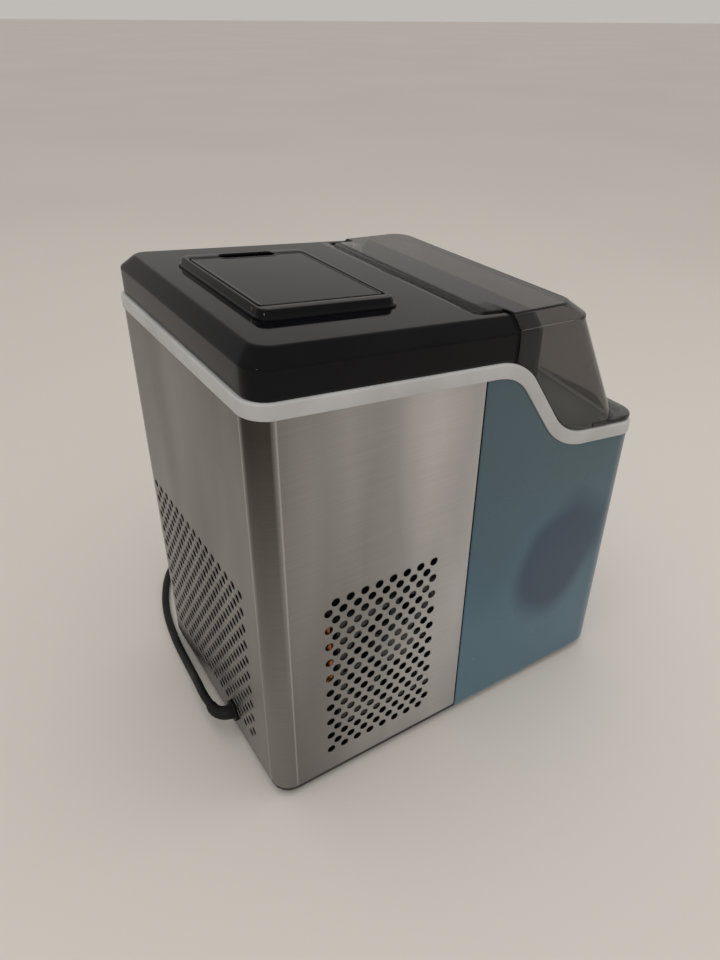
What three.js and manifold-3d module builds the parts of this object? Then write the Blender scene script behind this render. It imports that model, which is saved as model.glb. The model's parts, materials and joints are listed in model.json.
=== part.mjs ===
// A free-standing ice maker: steel and blue sheet walls, a black top cover with a fill hatch,
// a smoked hood over the ice basket, and the cooling and water parts inside.
// Millimetres, +Z up, front towards -Y, origin at the middle of the footprint on the table.
import * as THREE from "three";
import { mergeVertices } from "three/addons/utils/BufferGeometryUtils.js";
import Module from "manifold-3d";

const wasm = await Module();
wasm.setup();
const { Manifold } = wasm;

// Fits that several pieces share
const weld = 1e-3; // vertices closer than this are one
const fit = 0.3; // gap between two seated faces
const overrun = 4; // how far a cut runs past the face it leaves
const sink = 0.6; // how deep a boss or rib is rooted in what carries it

// Whole body
const width = 234;
const depth = 346;
const sheet = 1; // wall sheet thickness
const backCorner = 16; // plan radius of the two back corners
const frontCorner = 22; // plan radius of the two front corners
const seamDepth = 0; // where back and front walls meet
const seamGap = 1.6;
const backWallFoot = 10; // height of the back wall's lower edge
const frontWallFoot = 7; // height of the front wall's lower edge
const half = width / 2;
const back = depth / 2;
const front = -back;

// Trim band: its top edge, seen from the side
const trimBackHeight = 352;
const shoulderDepth = -33;
const shoulderHeight = 333;
const stepFootDepth = -85;
const stepFootHeight = 259.5;
const trimFrontHeight = 248.5;
const stepRadius = 50;
const trimHeight = 11;
const trimProud = 1.2; // how far the band stands out of the walls
const trimWall = 4.5;
const backSlope = (trimBackHeight - shoulderHeight) / (back - shoulderDepth);
const trimBackLine = (y) => shoulderHeight + (y - shoulderDepth) * backSlope;
const frontSlope = (stepFootHeight - trimFrontHeight) / (stepFootDepth - front);
const trimFrontLine = (y) => trimFrontHeight + (y - front) * frontSlope;

// Vents, round holes in staggered columns
const ventRadius = 3.6;
const ventColumnStep = 12.14;
const ventRowStep = 16;
const ventRows = 10;
const ventTop = 186.4;
const sideVentInset = 47.3; // from the back to the side field's first column
const sideVentMargin = 39.5; // least distance from its last column to the seam
const backVentInset = 42.6; // from the left side to the back field's first column
const backVentMargin = 21; // least distance from its last column to the right side
const columnsIn = (room) => Math.floor(room / ventColumnStep) + 1;
const sideVentColumns = columnsIn(back - sideVentInset - seamDepth - sideVentMargin);
const backVentColumns = columnsIn(width - backVentInset - backVentMargin);
const ventSides = 4;

// Base pan and feet
const panFloor = 6;
const panThickness = 2.5;
const panRim = 12;
const panWall = 2;
const footRadius = 13;
const footTop = 11;
const footInset = 28; // from the body's sides to a foot's middle

// Top cover
const coverWall = 2.5;
const coverSideInset = 0.7;
const coverBackInset = 1.7;
const coverRise = 29.3; // cover's top above the trim's line
const chamfer = 9.5;
const coverCorner = 15;
const coverTopCorner = 12;
const coverFront = -4; // front edge of the flat top
const cheekFront = -26; // front edge of the two cheeks beside the hood's hinge
const cheekWidth = 19.3;
const cheekInner = half - coverSideInset - cheekWidth;
const coverTop = (y) => trimBackLine(y) + coverRise;

// Raised hatch frame on the cover
const frameSideMargin = 48; // from the body's side to the frame
const frameFrontMargin = 42; // from the flat top's front edge
const frameBackMargin = 32;
const frameHalf = half - frameSideMargin;
const frameFront = coverFront + frameFrontMargin;
const frameBack = back - frameBackMargin;
const frameCorner = 9;
const frameRise = 6;
const frameDraft = 3; // how far the top edge draws in

// Fill hatch
const hatchMargin = 6.5; // from the frame's foot, front and back
const hatchSideMargin = 12;
const hatchHalf = frameHalf - hatchSideMargin;
const hatchFront = frameFront + hatchMargin;
const hatchBack = frameBack - hatchMargin;
const hatchCorner = 4;
const hatchThickness = 3.5;
const hatchBarrel = 2.4; // radius of its rolled hinge edge
const hatchGap = 0.6;
const hatchPinRadius = 1;
const hatchPinReach = 4.5; // how far the pin enters the frame at each end
const notchLength = 44;
const notchWidth = 7.5;
const mouthMargin = 8; // ledge that the hatch lies on
const mouthHalf = hatchHalf - mouthMargin;
const mouthFront = hatchFront + mouthMargin;
const mouthBack = hatchBack - mouthMargin;

// Smoked hood
const hoodWall = 2.5;
const hoodSlopeShare = 0.045;
const hingeDepth = -10;
const hingeDrop = 5; // hinge axis below the cover's top
const hoodBarrel = 5; // radius of the rolled hinge edge
const hoodToeInset = 20; // from the body's front to the foot of its sloped front
const hoodFrontRun = 59; // how far that front leans back
const hoodToe = front + hoodToeInset;
const hoodCrown = hoodToe + hoodFrontRun;
const hoodFrontChamfer = 9;
const hoodCorner = 20;
const hoodTopCorner = 14;
const hoodGap = 0.8; // between hood and trim
const lipSideInset = 13; // from the body's side
const lipFrontInset = 6;
const lipHalf = half - lipSideInset;
const lipFront = front + lipFrontInset;
const lipThickness = 4;
const lipCorner = 16;
const sealThickness = 1.2;
const sealWidth = 9;
const hingePinRadius = 2;
const hingePinLength = 12;

// Inner wall between the machine space and the ice space
const innerWall = 3;
const innerWallFront = -49;
const innerWallFoot = 14;
const innerClearance = 1.5; // between the inner wall and the hood
const chuteHalf = 28;
const chuteWall = 2;
const chuteDrop = 12; // fall of its floor from back to front
const chuteHeight = 32;
const chuteReach = 11; // how far it stands into the ice space
const chuteFront = innerWallFront - chuteReach;
const flapThickness = 2;
const flapPinRadius = 1.6;

// Ice tub with its foam
const innerHalf = half + trimProud - trimWall - fit;
const tubSideRoom = 12.4; // for foam, inside the trim band
const tubFrontRoom = 15;
const tubBackRoom = 3;
const tubHalf = innerHalf - tubSideRoom;
const tubWall = 2.5;
const tubFront = front + tubFrontRoom;
const tubBack = innerWallFront - tubBackRoom;
const tubFloor = 106;
const tubRearHeight = shoulderHeight - trimHeight;
const tubLowRun = 20; // from the tub's front to the foot of its sloped rim
const tubLowRise = 2.5;
const tubLowDepth = tubFront + tubLowRun;
const tubLowHeight = stepFootHeight + tubLowRise;
const tubFlange = 6; // side flange beyond the tub's wall
const tubFlangeThickness = 3;
const foamFloor = 14; // foam under the tub
const foamFoot = tubFloor - foamFloor;

// Ice basket
const basketSideRoom = 4.5;
const basketFrontRoom = 15.5;
const basketBackRoom = 7.5;
const basketHeight = 109.2;
const basketHalf = tubHalf - tubWall - basketSideRoom;
const basketWall = 2;
const basketFront = tubFront + tubWall + basketFrontRoom;
const basketBack = tubBack - tubWall - basketBackRoom;
const basketFloor = tubFloor + tubWall + fit;
const basketRim = basketFloor + basketHeight;
const basketDraft = 5; // each wall leans out by this much
const basketSlots = 7;
const basketSlotWidth = 6;
const basketSlotEndShare = 0.32; // of the basket's depth, left uncut at each end
const bailMargin = 13; // from the basket's rim to the bail's grip
const bailDepth = (basketFront + basketBack) / 2;
const bailReach = bailDepth - basketFront - bailMargin;
const bailRod = 2;
const bailDrop = 8; // bail pivots below the rim

// Water tank and its shelf
const shelfHeight = 166;
const shelfThickness = 3;
const fanDepth = 24;
const condenserDepth = 24;
const machineLeft = sheet + fit - half; // inner face of the left wall
const condenserLeft = machineLeft + fanDepth + fit;
const condenserRight = condenserLeft + condenserDepth;
const shelfGap = 5.4; // between condenser and shelf
const tankShelfMargin = 4;
const tankSideRoom = 13; // to the body's right side and to its back
const shelfLeft = condenserRight + shelfGap;
const tankLeft = shelfLeft + tankShelfMargin;
const tankRight = half - tankSideRoom;
const tankFront = 43;
const tankBack = back - tankSideRoom;
const tankFloor = shelfHeight + shelfThickness + fit;
const tankRim = trimBackLine(tankFront);
const tankWall = 2.5;
const basinWall = 2;
const basinDepth = 48; // below the cover's top
const basinFoot = coverTop(mouthFront) - basinDepth;
const floatInset = 22; // from the tank's right side
const floatStemRadius = 3;
const floatPlaceX = tankRight - floatInset;
const floatPlaceY = (tankFront + tankBack) / 2;
const floatStemHeight = 46;
const floatRadius = 11;
const floatHeight = 13;
const stemFlange = 8;
const stemFlangeThickness = 2;

// Cooling parts
const barrelY = 6;
const motorHalf = 34;
const motorBack = barrelY + motorHalf;
const compressorRadius = 46;
const compressorSideRoom = 21.5; // to the right wall
const compressorX = half - sheet - fit - compressorSideRoom - compressorRadius;
const compressorPlaceShare = 0.457; // of the way from the gear motor to the back wall
const compressorY = motorBack + (back - sheet - fit - motorBack) * compressorPlaceShare;
const compressorHeight = 124;
const compressorFoot = 19;
const mountRadius = 8;
const fanInset = 111; // from the back to the fan's axis
const fanY = back - fanInset;
const fanZ = 112;
const fanSize = 112;
const fanBore = 52;
const fanHub = 17;
const fanBlades = 7;
const bladeThickness = 2.2;
const bladeTwist = 0.6; // radians
const motorDepth = 9;
const motorShaft = 2;
const spokeWidth = 5;
const condenserFins = 15;
const finShare = 0.3; // share of a fin's pitch that is metal
const barrelBore = 21;
const barrelRadius = 24;
const jacketRadius = 34;
const jacketInset = 9; // jacket ends below and above the barrel's ends
const augerCore = 8;
const augerRadius = 20;
const augerPitch = 34;
const augerTurns = 4;
const augerFlight = 4;
const motorHeight = 96;
const motorFoot = panFloor + panThickness + fit;
const motorTop = motorFoot + motorHeight;
const barrelNeck = 13.2; // between gear motor and barrel
const barrelLength = 150;
const barrelFoot = motorTop + barrelNeck;
const barrelTop = barrelFoot + barrelLength;
const headRadius = 27;
const headHeight = 20;
const headSill = 4; // height of the outlet's lower edge above the head's foot
const headFoot = barrelTop + fit;
const chuteBack = barrelY - headRadius - 1.5 * fit;
const chuteFloorBack = headFoot + headSill;
const chuteFloorFront = chuteFloorBack - chuteDrop;
const pipeRadius = 4;
const dryerRadius = 9;
const dryerLength = 70;
const pumpRadius = 17;
const pumpHeight = 44;
const pumpSideMargin = 22; // from the tank's left side to the pump's middle
const pumpBackMargin = 14;
const pumpX = tankLeft + pumpSideMargin;
const pumpY = tankBack - pumpBackMargin;
const hoseRadius = 5;

// Control parts
const boardHalf = 62;
const boardHeight = 62;
const boardFoot = 22;
const boardThickness = 2;
const standoff = 5;
const panelHalf = 62;
const panelDrop = 41.5; // from the trim band's lower edge to the panel's foot
const panelHeight = 28;
const panelFoot = trimFrontHeight - trimHeight - panelDrop;
const panelThickness = 6;
const panelProud = 0.6;
const buttonRadius = 8;
const buttonSpacing = 38;
const buttonProud = 0.5; // beyond the panel
const buttonSkirt = 2.4;
const buttonSkirtDepth = 2;
const buttonTravel = 1.2;
const lensHalf = 12;
const lensHeight = 3;
const lensDepth = 3;

// Drain plug in the right wall
const drainInset = 45; // from the back
const drainY = back - drainInset;
const drainZ = 34;
const drainRadius = 7;
const drainHead = 10;
const drainHeadThickness = 0.8;
const drainLength = 22;
const drainTubeWall = 2.5;

// Mains lead
const cordDiameter = 7.4;
const glandInset = 84; // from the body's left side
const glandX = glandInset - half;
const glandZ = 26.4;
const glandFlange = 9.5;
const glandFlangeThickness = 2.4;
const bootRadius = 6.6;
const bootEndRadius = 5;
const bootBend = 12; // radius of the boot's sideways bend
const bootLength = 18;
const coilInner = 33;
const coilPitch = 8.1;
const coilTurns = 5;
const coilX = 178.5;
const coilY = 76;
const coilSteps = 24;
const coilSides = 6;
const tieWidth = 8;
const tieThickness = 0.8;
const plugLength = 34;
const plugWidth = 25;
const plugHeight = 20;
const bladeLength = 17;
const bladeWidth = 6.3;
const plugBladeThickness = 1.5;
const bladeGap = 12.7;
const groundRadius = 2.4;
const groundDrop = 8;
const bladeHeightShare = 0.68;
const plugX = 230;
const plugY = -34;
const cordSides = 8;
const leadSteps = 30;
const tailSteps = 10;

// Free stretches of the lead, from the boot to the coil and from the coil to the plug
const cordRoute = [
  [-6, 188.6, 26.2],
  [3, 188.2, 25.2],
  [13, 187.1, 22.9],
  [24, 185.9, 19.4],
  [36, 184.5, 15.2],
  [49, 183.2, 11],
  [62, 182, 7.6],
  [76, 181, 5.2],
  [91, 179.9, 4.1],
  [108, 178, 3.8],
  [125, 175.6, 3.8],
  [141, 172.4, 3.8],
  [157, 167.8, 3.8],
  [172, 162.2, 3.8],
  [187, 155.2, 3.8],
  [201, 146.4, 3.8],
  [213.5, 134.8, 3.8],
  [223.6, 119.5, 3.8],
  [229.8, 103.5, 4.2],
  [231.5, 93.5, 4.6],
];
const tailRoute = [
  [231.9, 55, 12],
  [232, 41, 9],
  [232, 27, 5.9],
  [231.8, 13, 4],
  [231.2, -1, 4.4],
  [230.6, -13, 6.8],
  [230.2, -24, 9.2],
];

// Round counts
const cornerSteps = 4;
const bendSteps = 6;
const roundSides = 16;
const smallSides = 10;
const pipeSides = 6;

// Values that follow from the driving sizes
const hingeHeight = coverTop(coverFront) - hingeDrop;
const hoodTop = (y) => hingeHeight + hoodBarrel + (y - hingeDepth) * hoodSlopeShare;
const hoodHalf = half - coverSideInset;
const hoodFootHeight = trimFrontLine(hoodToe);
const hoodLean = (hoodCrown - hoodToe) / (hoodTop(hoodCrown) - hoodFootHeight);
const hoodFrontAt = (z) => hoodToe + (z - hoodFootHeight) * hoodLean;

// Closed geometry to a solid that can be joined and cut
function solidOf(shape) {
  if (shape instanceof Manifold) return shape;
  const loose = shape.index ? shape.toNonIndexed() : shape;
  const bare = new THREE.BufferGeometry();
  bare.setAttribute("position", loose.getAttribute("position"));
  const merged = mergeVertices(bare, weld);
  return new Manifold(
    new wasm.Mesh({
      numProp: 3,
      vertProperties: merged.attributes.position.array,
      triVerts: new Uint32Array(merged.index.array),
    }),
  );
}

// Solid back to a geometry
function geometryOf(shape) {
  if (!(shape instanceof Manifold)) return shape;
  const { vertProperties, triVerts } = shape.getMesh();
  const geometry = new THREE.BufferGeometry();
  geometry.setAttribute("position", new THREE.BufferAttribute(vertProperties, 3));
  geometry.setIndex(new THREE.BufferAttribute(triVerts, 1));
  return geometry;
}

const join = (...shapes) => shapes.map(solidOf).reduce((a, b) => a.add(b));
const cut = (shape, ...tools) => tools.map(solidOf).reduce((a, b) => a.subtract(b), solidOf(shape));
const meet = (...shapes) => shapes.map(solidOf).reduce((a, b) => a.intersect(b));

// An outline pushed along the third axis of a basis, from one place to another
function pushed(outline, from, to, basis) {
  const shape = new THREE.Shape(outline.map(([a, b]) => new THREE.Vector2(a, b)));
  const geometry = new THREE.ExtrudeGeometry(shape, { depth: to - from, bevelEnabled: false });
  geometry.translate(0, 0, from);
  return geometry.applyMatrix4(basis);
}

const axisX = new THREE.Vector3(1, 0, 0);
const axisY = new THREE.Vector3(0, 1, 0);
const axisZ = new THREE.Vector3(0, 0, 1);
const upBasis = new THREE.Matrix4();
const acrossBasis = new THREE.Matrix4().makeBasis(axisY, axisZ, axisX);
const throughBasis = new THREE.Matrix4().makeBasis(axisX, axisZ, axisY.clone().negate());

// Outline of x and y pushed upwards
const upright = (outline, bottom, top) => pushed(outline, bottom, top, upBasis);
// Outline of y and z pushed from left to right
const across = (outline, left, right) => pushed(outline, left, right, acrossBasis);
// Outline of x and z pushed from the front to the back
const through = (outline, near, far) => pushed(outline, -far, -near, throughBasis);

// Box between two corners
function box([x0, y0, z0], [x1, y1, z1]) {
  const geometry = new THREE.BoxGeometry(x1 - x0, y1 - y0, z1 - z0);
  return geometry.translate((x0 + x1) / 2, (y0 + y1) / 2, (z0 + z1) / 2);
}

// Round bar between two points
function bar(from, to, radius, sides = smallSides, endRadius = radius) {
  const start = new THREE.Vector3(...from);
  const run = new THREE.Vector3(...to).sub(start);
  const geometry = new THREE.CylinderGeometry(endRadius, radius, run.length(), sides);
  geometry.translate(0, run.length() / 2, 0);
  const turn = new THREE.Quaternion().setFromUnitVectors(axisY, run.clone().normalize());
  return geometry.applyQuaternion(turn).translate(start.x, start.y, start.z);
}

// Profile of radius and height turned about an upright axis
function turned(profile, x, y, sides = roundSides) {
  const points = profile.map(([r, z]) => new THREE.Vector2(r, z));
  const geometry = new THREE.LatheGeometry(points, sides);
  return geometry.rotateX(Math.PI / 2).translate(x, y, 0);
}

// Round tube along points, closed at both ends
function tube(points, radius, sides, steps) {
  const spots = points.map((p) => new THREE.Vector3(...p));
  const path = new THREE.CatmullRomCurve3(spots, false, "centripetal");
  const ring = Array.from({ length: sides }, (_, i) => {
    const angle = (2 * Math.PI * i) / sides;
    return new THREE.Vector2(radius * Math.cos(angle), radius * Math.sin(angle));
  });
  return new THREE.ExtrudeGeometry(new THREE.Shape(ring), { steps, extrudePath: path });
}

// Plan outline with its own radius at the front and back corners
function plan(halfWidth, yFront, yBack, rFront, rBack = rFront) {
  const corners = [
    [halfWidth - rFront, yFront + rFront, rFront, -Math.PI / 2],
    [halfWidth - rBack, yBack - rBack, rBack, 0],
    [rBack - halfWidth, yBack - rBack, rBack, Math.PI / 2],
    [rFront - halfWidth, yFront + rFront, rFront, Math.PI],
  ];
  return corners.flatMap(([x, y, r, start]) =>
    Array.from({ length: r === 0 ? 1 : cornerSteps + 1 }, (_, i) => {
      const angle = start + (Math.PI / 2) * (i / cornerSteps);
      return [x + r * Math.cos(angle), y + r * Math.sin(angle)];
    }),
  );
}

// Skin over rings of equal count that run anticlockwise seen from above, lowest first
function skin(rings) {
  const count = rings[0].length;
  const middle = (ring) =>
    [0, 1, 2].map((axis) => ring.reduce((sum, p) => sum + p[axis], 0) / count);
  const faces = [];
  const low = middle(rings[0]);
  const high = middle(rings.at(-1));
  for (let i = 0; i < count; i++) {
    const j = (i + 1) % count;
    faces.push(low, rings[0][j], rings[0][i], high, rings.at(-1)[i], rings.at(-1)[j]);
    for (let k = 1; k < rings.length; k++) {
      const [a, b] = [rings[k - 1], rings[k]];
      faces.push(a[i], a[j], b[j], a[i], b[j], b[i]);
    }
  }
  const geometry = new THREE.BufferGeometry();
  geometry.setAttribute("position", new THREE.Float32BufferAttribute(faces.flat(), 3));
  return geometry;
}

// Lifts a plan outline to a height that depends on y
const lifted = (outline, heightAt) => outline.map(([x, y]) => [x, y, heightAt(y)]);
const level = (z) => () => z;
const slab = (outline, bottomAt, topAt) => skin([lifted(outline, bottomAt), lifted(outline, topAt)]);

// Moves each stretch of an open line sideways and meets the stretches again
function shifted(line, distance) {
  const moved = line.slice(1).map(([y1, z1], i) => {
    const [y0, z0] = line[i];
    const length = Math.hypot(y1 - y0, z1 - z0);
    const [ny, nz] = [((z1 - z0) / length) * distance, (-(y1 - y0) / length) * distance];
    return [[y0 + ny, z0 + nz], [y1 + ny, z1 + nz]];
  });
  const inner = moved.slice(1).map(([[cy, cz], [dy, dz]], i) => {
    const [[ay, az], [by, bz]] = moved[i];
    const across1 = [by - ay, bz - az];
    const across2 = [dy - cy, dz - cz];
    const turn = across1[0] * across2[1] - across1[1] * across2[0];
    const share = ((cy - ay) * across2[1] - (cz - az) * across2[0]) / turn;
    return [ay + across1[0] * share, az + across1[1] * share];
  });
  return [moved[0][0], ...inner, moved.at(-1)[1]];
}

// Rounds the inner corners of an open line, each with its own radius
function rounded(line, radii) {
  const points = [line[0]];
  radii.forEach((radius, i) => {
    const [a, b, c] = [line[i], line[i + 1], line[i + 2]].map((p) => new THREE.Vector2(...p));
    const towardsA = a.sub(b).normalize();
    const towardsC = c.sub(b).normalize();
    const halfAngle = Math.acos(towardsA.dot(towardsC)) / 2;
    const reach = radius / Math.tan(halfAngle);
    const middle = towardsA.clone().add(towardsC).normalize();
    const centre = b.clone().addScaledVector(middle, radius / Math.sin(halfAngle));
    const start = b.clone().addScaledVector(towardsA, reach).sub(centre);
    const end = b.clone().addScaledVector(towardsC, reach).sub(centre);
    const sweep = Math.atan2(start.cross(end), start.dot(end));
    for (let k = 0; k <= bendSteps; k++) {
      const spoke = start.clone().rotateAround(new THREE.Vector2(), (sweep * k) / bendSteps);
      points.push([centre.x + spoke.x, centre.y + spoke.y]);
    }
  });
  return [...points, line.at(-1)];
}

// The trim's top edge from back to front, lowered square to itself by drop
function trimLine(drop) {
  const beyond = 2 * overrun;
  const line = [
    [back + beyond, trimBackLine(back + beyond)],
    [shoulderDepth, shoulderHeight],
    [stepFootDepth, stepFootHeight],
    [front - beyond, trimFrontLine(front - beyond)],
  ];
  return rounded(shifted(line, -drop), [stepRadius - drop, stepRadius + drop]);
}

// Everything below or above that line
const yBeyond = back + 2 * overrun;
const belowTrim = (drop) =>
  across([...trimLine(drop), [-yBeyond, -overrun], [yBeyond, -overrun]], -width, width);
const aboveTrim = (drop) =>
  across([...trimLine(drop), [-yBeyond, 2 * depth], [yBeyond, 2 * depth]], -width, width);

// Scene graph
const iceMaker = new THREE.Group();

function piece(name, shape, color, roughness, metalness, place = [0, 0, 0], group = iceMaker) {
  const material = new THREE.MeshStandardMaterial({ color, roughness, metalness, flatShading: true });
  const mesh = new THREE.Mesh(geometryOf(shape), material);
  mesh.name = name;
  mesh.position.set(...place);
  group.add(mesh);
  return mesh;
}

// Body walls
const bodyPlan = (inset) =>
  plan(half - inset, front + inset, back - inset, frontCorner - inset, backCorner - inset);

function wallShell(yNear, yFar, foot) {
  const ring = cut(
    upright(bodyPlan(0), foot, trimBackHeight),
    upright(bodyPlan(sheet), foot - overrun, trimBackHeight + overrun),
  );
  return meet(ring, belowTrim(trimHeight + fit), box([-width, yNear, 0], [width, yFar, 2 * depth]));
}

// Staggered field of vent holes: place along the wall and height of each
function ventSpots(columns, start, step, evenDrop) {
  const spots = [];
  for (let column = 0; column < columns; column++) {
    const drop = (column + evenDrop) % 2 === 0 ? 0 : ventRowStep / 2;
    for (let row = 0; row < ventRows; row++)
      spots.push([start + column * step, ventTop - drop - row * ventRowStep]);
  }
  return spots;
}

function buildWalls() {
  let wrap = wallShell(seamDepth + seamGap / 2, back + overrun, backWallFoot);
  const sideHoles = ventSpots(sideVentColumns, back - sideVentInset, -ventColumnStep, 1).map(([y, z]) =>
    solidOf(bar([-half - overrun, y, z], [overrun - half, y, z], ventRadius, ventSides)),
  );
  const backHoles = ventSpots(backVentColumns, backVentInset - half, ventColumnStep, 0).map(([x, z]) =>
    solidOf(bar([x, back - overrun, z], [x, back + overrun, z], ventRadius, ventSides)),
  );
  const glandHole = bar(
    [glandX, back - overrun, glandZ],
    [glandX, back + overrun, glandZ],
    bootRadius + fit,
    smallSides,
  );
  const drainHole = bar(
    [half - overrun, drainY, drainZ],
    [half + overrun, drainY, drainZ],
    drainRadius + fit,
    smallSides,
  );
  wrap = cut(wrap, Manifold.union([...sideHoles, ...backHoles]), glandHole, drainHole);
  piece("rear_wrap", wrap, 0x8a867f, 0.35, 0.9);

  const panelHole = box(
    [-panelHalf - fit, front - overrun, panelFoot - fit],
    [panelHalf + fit, front + overrun, panelFoot + panelHeight + fit],
  );
  const shell = wallShell(front - overrun, seamDepth - seamGap / 2, frontWallFoot);
  piece("front_shell", cut(shell, panelHole), 0x4b5f69, 0.45, 0.3);

  const band = cut(
    upright(bodyPlan(-trimProud), 0, 2 * depth),
    upright(bodyPlan(trimWall - trimProud), -overrun, 2 * depth + overrun),
  );
  piece("trim_ring", meet(band, belowTrim(0), aboveTrim(trimHeight)), 0xc4c3bd, 0.5, 0);
}

function buildBase() {
  const inset = sheet + fit;
  const floor = upright(bodyPlan(inset), panFloor, panFloor + panThickness);
  const rim = cut(
    upright(bodyPlan(inset), panFloor, panFloor + panRim),
    upright(bodyPlan(inset + panWall), panFloor - overrun, panFloor + panRim + overrun),
  );
  const footX = half - footInset;
  const footY = back - footInset;
  const corners = [
    [-footX, -footY],
    [footX, -footY],
    [footX, footY],
    [-footX, footY],
  ];
  const sockets = corners.map(([x, y]) =>
    bar([x, y, panFloor - overrun], [x, y, footTop + overrun], footRadius / 2 + fit, smallSides),
  );
  piece("base_pan", cut(join(floor, rim), ...sockets), 0x1e1f20, 0.6, 0.2);
  const foot = turned(
    [
      [0, 0],
      [footRadius - 1.5 * fit, 0],
      [footRadius, panFloor - fit],
      [footRadius / 2, panFloor - fit],
      [footRadius / 2, footTop],
      [0, footTop],
    ],
    0,
    0,
    smallSides,
  );
  corners.forEach(([x, y], i) => piece(`foot_${i + 1}`, foot, 0x151515, 0.8, 0, [x, y, 0]));
}

// Cover
const topPlan = (yFront, sideIn, cornerTop) =>
  plan(half - coverSideInset - sideIn, yFront, back - coverBackInset - sideIn, coverTopCorner, cornerTop);

function coverSkin(inset) {
  const start = cheekFront - 6 * overrun + inset;
  const wall = topPlan(start, inset, coverCorner - inset);
  const flat = topPlan(start + chamfer, inset + chamfer, coverTopCorner - inset);
  const roof = (y) => coverTop(y) - inset;
  return skin([
    lifted(wall, level(stepFootHeight - inset)),
    lifted(wall, (y) => roof(y) - chamfer),
    lifted(flat, roof),
  ]);
}

function buildCover() {
  const frame = skin([
    lifted(plan(frameHalf, frameFront, frameBack, frameCorner), (y) => coverTop(y) - sink),
    lifted(plan(frameHalf, frameFront, frameBack, frameCorner), coverTop),
    lifted(
      plan(
        frameHalf - frameDraft,
        frameFront + frameDraft,
        frameBack - frameDraft,
        frameCorner - frameDraft,
      ),
      (y) => coverTop(y) + frameRise,
    ),
  ]);
  const pocketFloor = (y) => coverTop(y) + frameRise - 2 * hatchBarrel - hatchGap;
  const above = (y) => coverTop(y) + frameRise + overrun;
  const pocket = slab(
    plan(hatchHalf + hatchGap, hatchFront - hatchGap, hatchBack + hatchGap, hatchCorner),
    pocketFloor,
    above,
  );
  const mouth = slab(
    plan(mouthHalf, mouthFront, mouthBack, frameCorner),
    (y) => coverTop(y) - 2 * overrun,
    above,
  );
  const hingeAxis = (y) => coverTop(y) + frameRise - hatchBarrel;
  const pinX = hatchBarrel - hatchHalf;
  const alongHinge = (beyond, radius, sides = smallSides) => {
    const [near, far] = [hatchFront - beyond, hatchBack + beyond];
    return bar([pinX, near, hingeAxis(near)], [pinX, far, hingeAxis(far)], radius, sides);
  };
  const pinHole = alongHinge(hatchPinReach + fit, hatchPinRadius + fit);
  const barrelRoom = slab(
    [
      [-hatchHalf - hatchGap, hatchFront - hatchGap],
      [0, hatchFront - hatchGap],
      [0, hatchBack + hatchGap],
      [-hatchHalf - hatchGap, hatchBack + hatchGap],
    ],
    pocketFloor,
    above,
  );
  const hoodPinHoles = [-1, 1].map((way) =>
    bar(
      [way * (cheekInner - overrun), hingeDepth, hingeHeight],
      [way * (cheekInner + hingePinLength / 2 + fit), hingeDepth, hingeHeight],
      hingePinRadius + fit,
    ),
  );
  const knuckles = [-1, 1].map((way) => {
    const inside = way * cheekInner;
    const outside = way * (cheekInner + hingePinLength / 2 + 2 * coverWall);
    return meet(
      coverSkin(sink),
      box(
        [Math.min(inside, outside), cheekFront, hingeHeight - 2 * hoodBarrel],
        [Math.max(inside, outside), coverFront, coverTop(0)],
      ),
    );
  });
  const between = box(
    [-cheekInner, cheekFront - 8 * overrun, stepFootHeight - overrun],
    [cheekInner, coverFront, 2 * depth],
  );
  const ahead = box(
    [-width, cheekFront - 8 * overrun, stepFootHeight - overrun],
    [width, cheekFront, 2 * depth],
  );
  const hollow = coverSkin(coverWall);
  let cover = join(cut(coverSkin(0), hollow), ...knuckles, frame);
  cover = cut(cover, between, ahead, belowTrim(-fit), pocket, barrelRoom, mouth, pinHole, ...hoodPinHoles);
  piece("top_cover", cover, 0x1b1b1d, 0.15, 0);

  const hatchTop = (y) => coverTop(y) + frameRise;
  const plate = slab(
    plan(hatchHalf, hatchFront, hatchBack, hatchCorner),
    (y) => hatchTop(y) - hatchThickness,
    hatchTop,
  );
  const rolled = alongHinge(0, hatchBarrel, roundSides);
  const behindAxis = box(
    [-hatchHalf - overrun, hatchFront - overrun, 0],
    [pinX, hatchBack + overrun, 2 * depth],
  );
  const notchMiddle = (hatchFront + hatchBack) / 2;
  const notch = box(
    [hatchHalf - notchWidth, notchMiddle - notchLength / 2, 0],
    [hatchHalf + overrun, notchMiddle + notchLength / 2, 2 * depth],
  );
  const hatch = cut(join(cut(plate, behindAxis), rolled), notch, pinHole);
  piece("fill_hatch", hatch, 0x1c1c1e, 0.18, 0);
  piece("hatch_pin", alongHinge(hatchPinReach, hatchPinRadius), 0x9a9a98, 0.3, 0.9);
}

// Hood
function hoodSkin(inset) {
  const low = stepFootHeight - 6 * overrun - inset;
  const rear = hingeDepth + (inset > 0 ? overrun : 0);
  const halfIn = hoodHalf - inset;
  const chamferFoot = (y) => hoodTop(y) - inset - chamfer;
  const frontLow = hoodFrontAt(low) + inset;
  const frontHigh = hoodFrontAt(hoodTop(hoodCrown) - chamfer) + inset;
  const frontTop = hoodCrown + hoodFrontChamfer + inset;
  const corner = hoodCorner - inset;
  return skin([
    lifted(plan(halfIn, frontLow, rear, corner, 0), level(low)),
    lifted(plan(halfIn, frontHigh, rear, corner, 0), chamferFoot),
    lifted(
      plan(halfIn - chamfer, frontTop, rear, hoodTopCorner - inset, 0),
      (y) => hoodTop(y) - inset,
    ),
  ]);
}

const sealFoot = (y) => trimFrontLine(y) + 2 * fit;
const lipFoot = (y) => sealFoot(y) + sealThickness + fit;
const lipBack = hoodToe + sealWidth;

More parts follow.
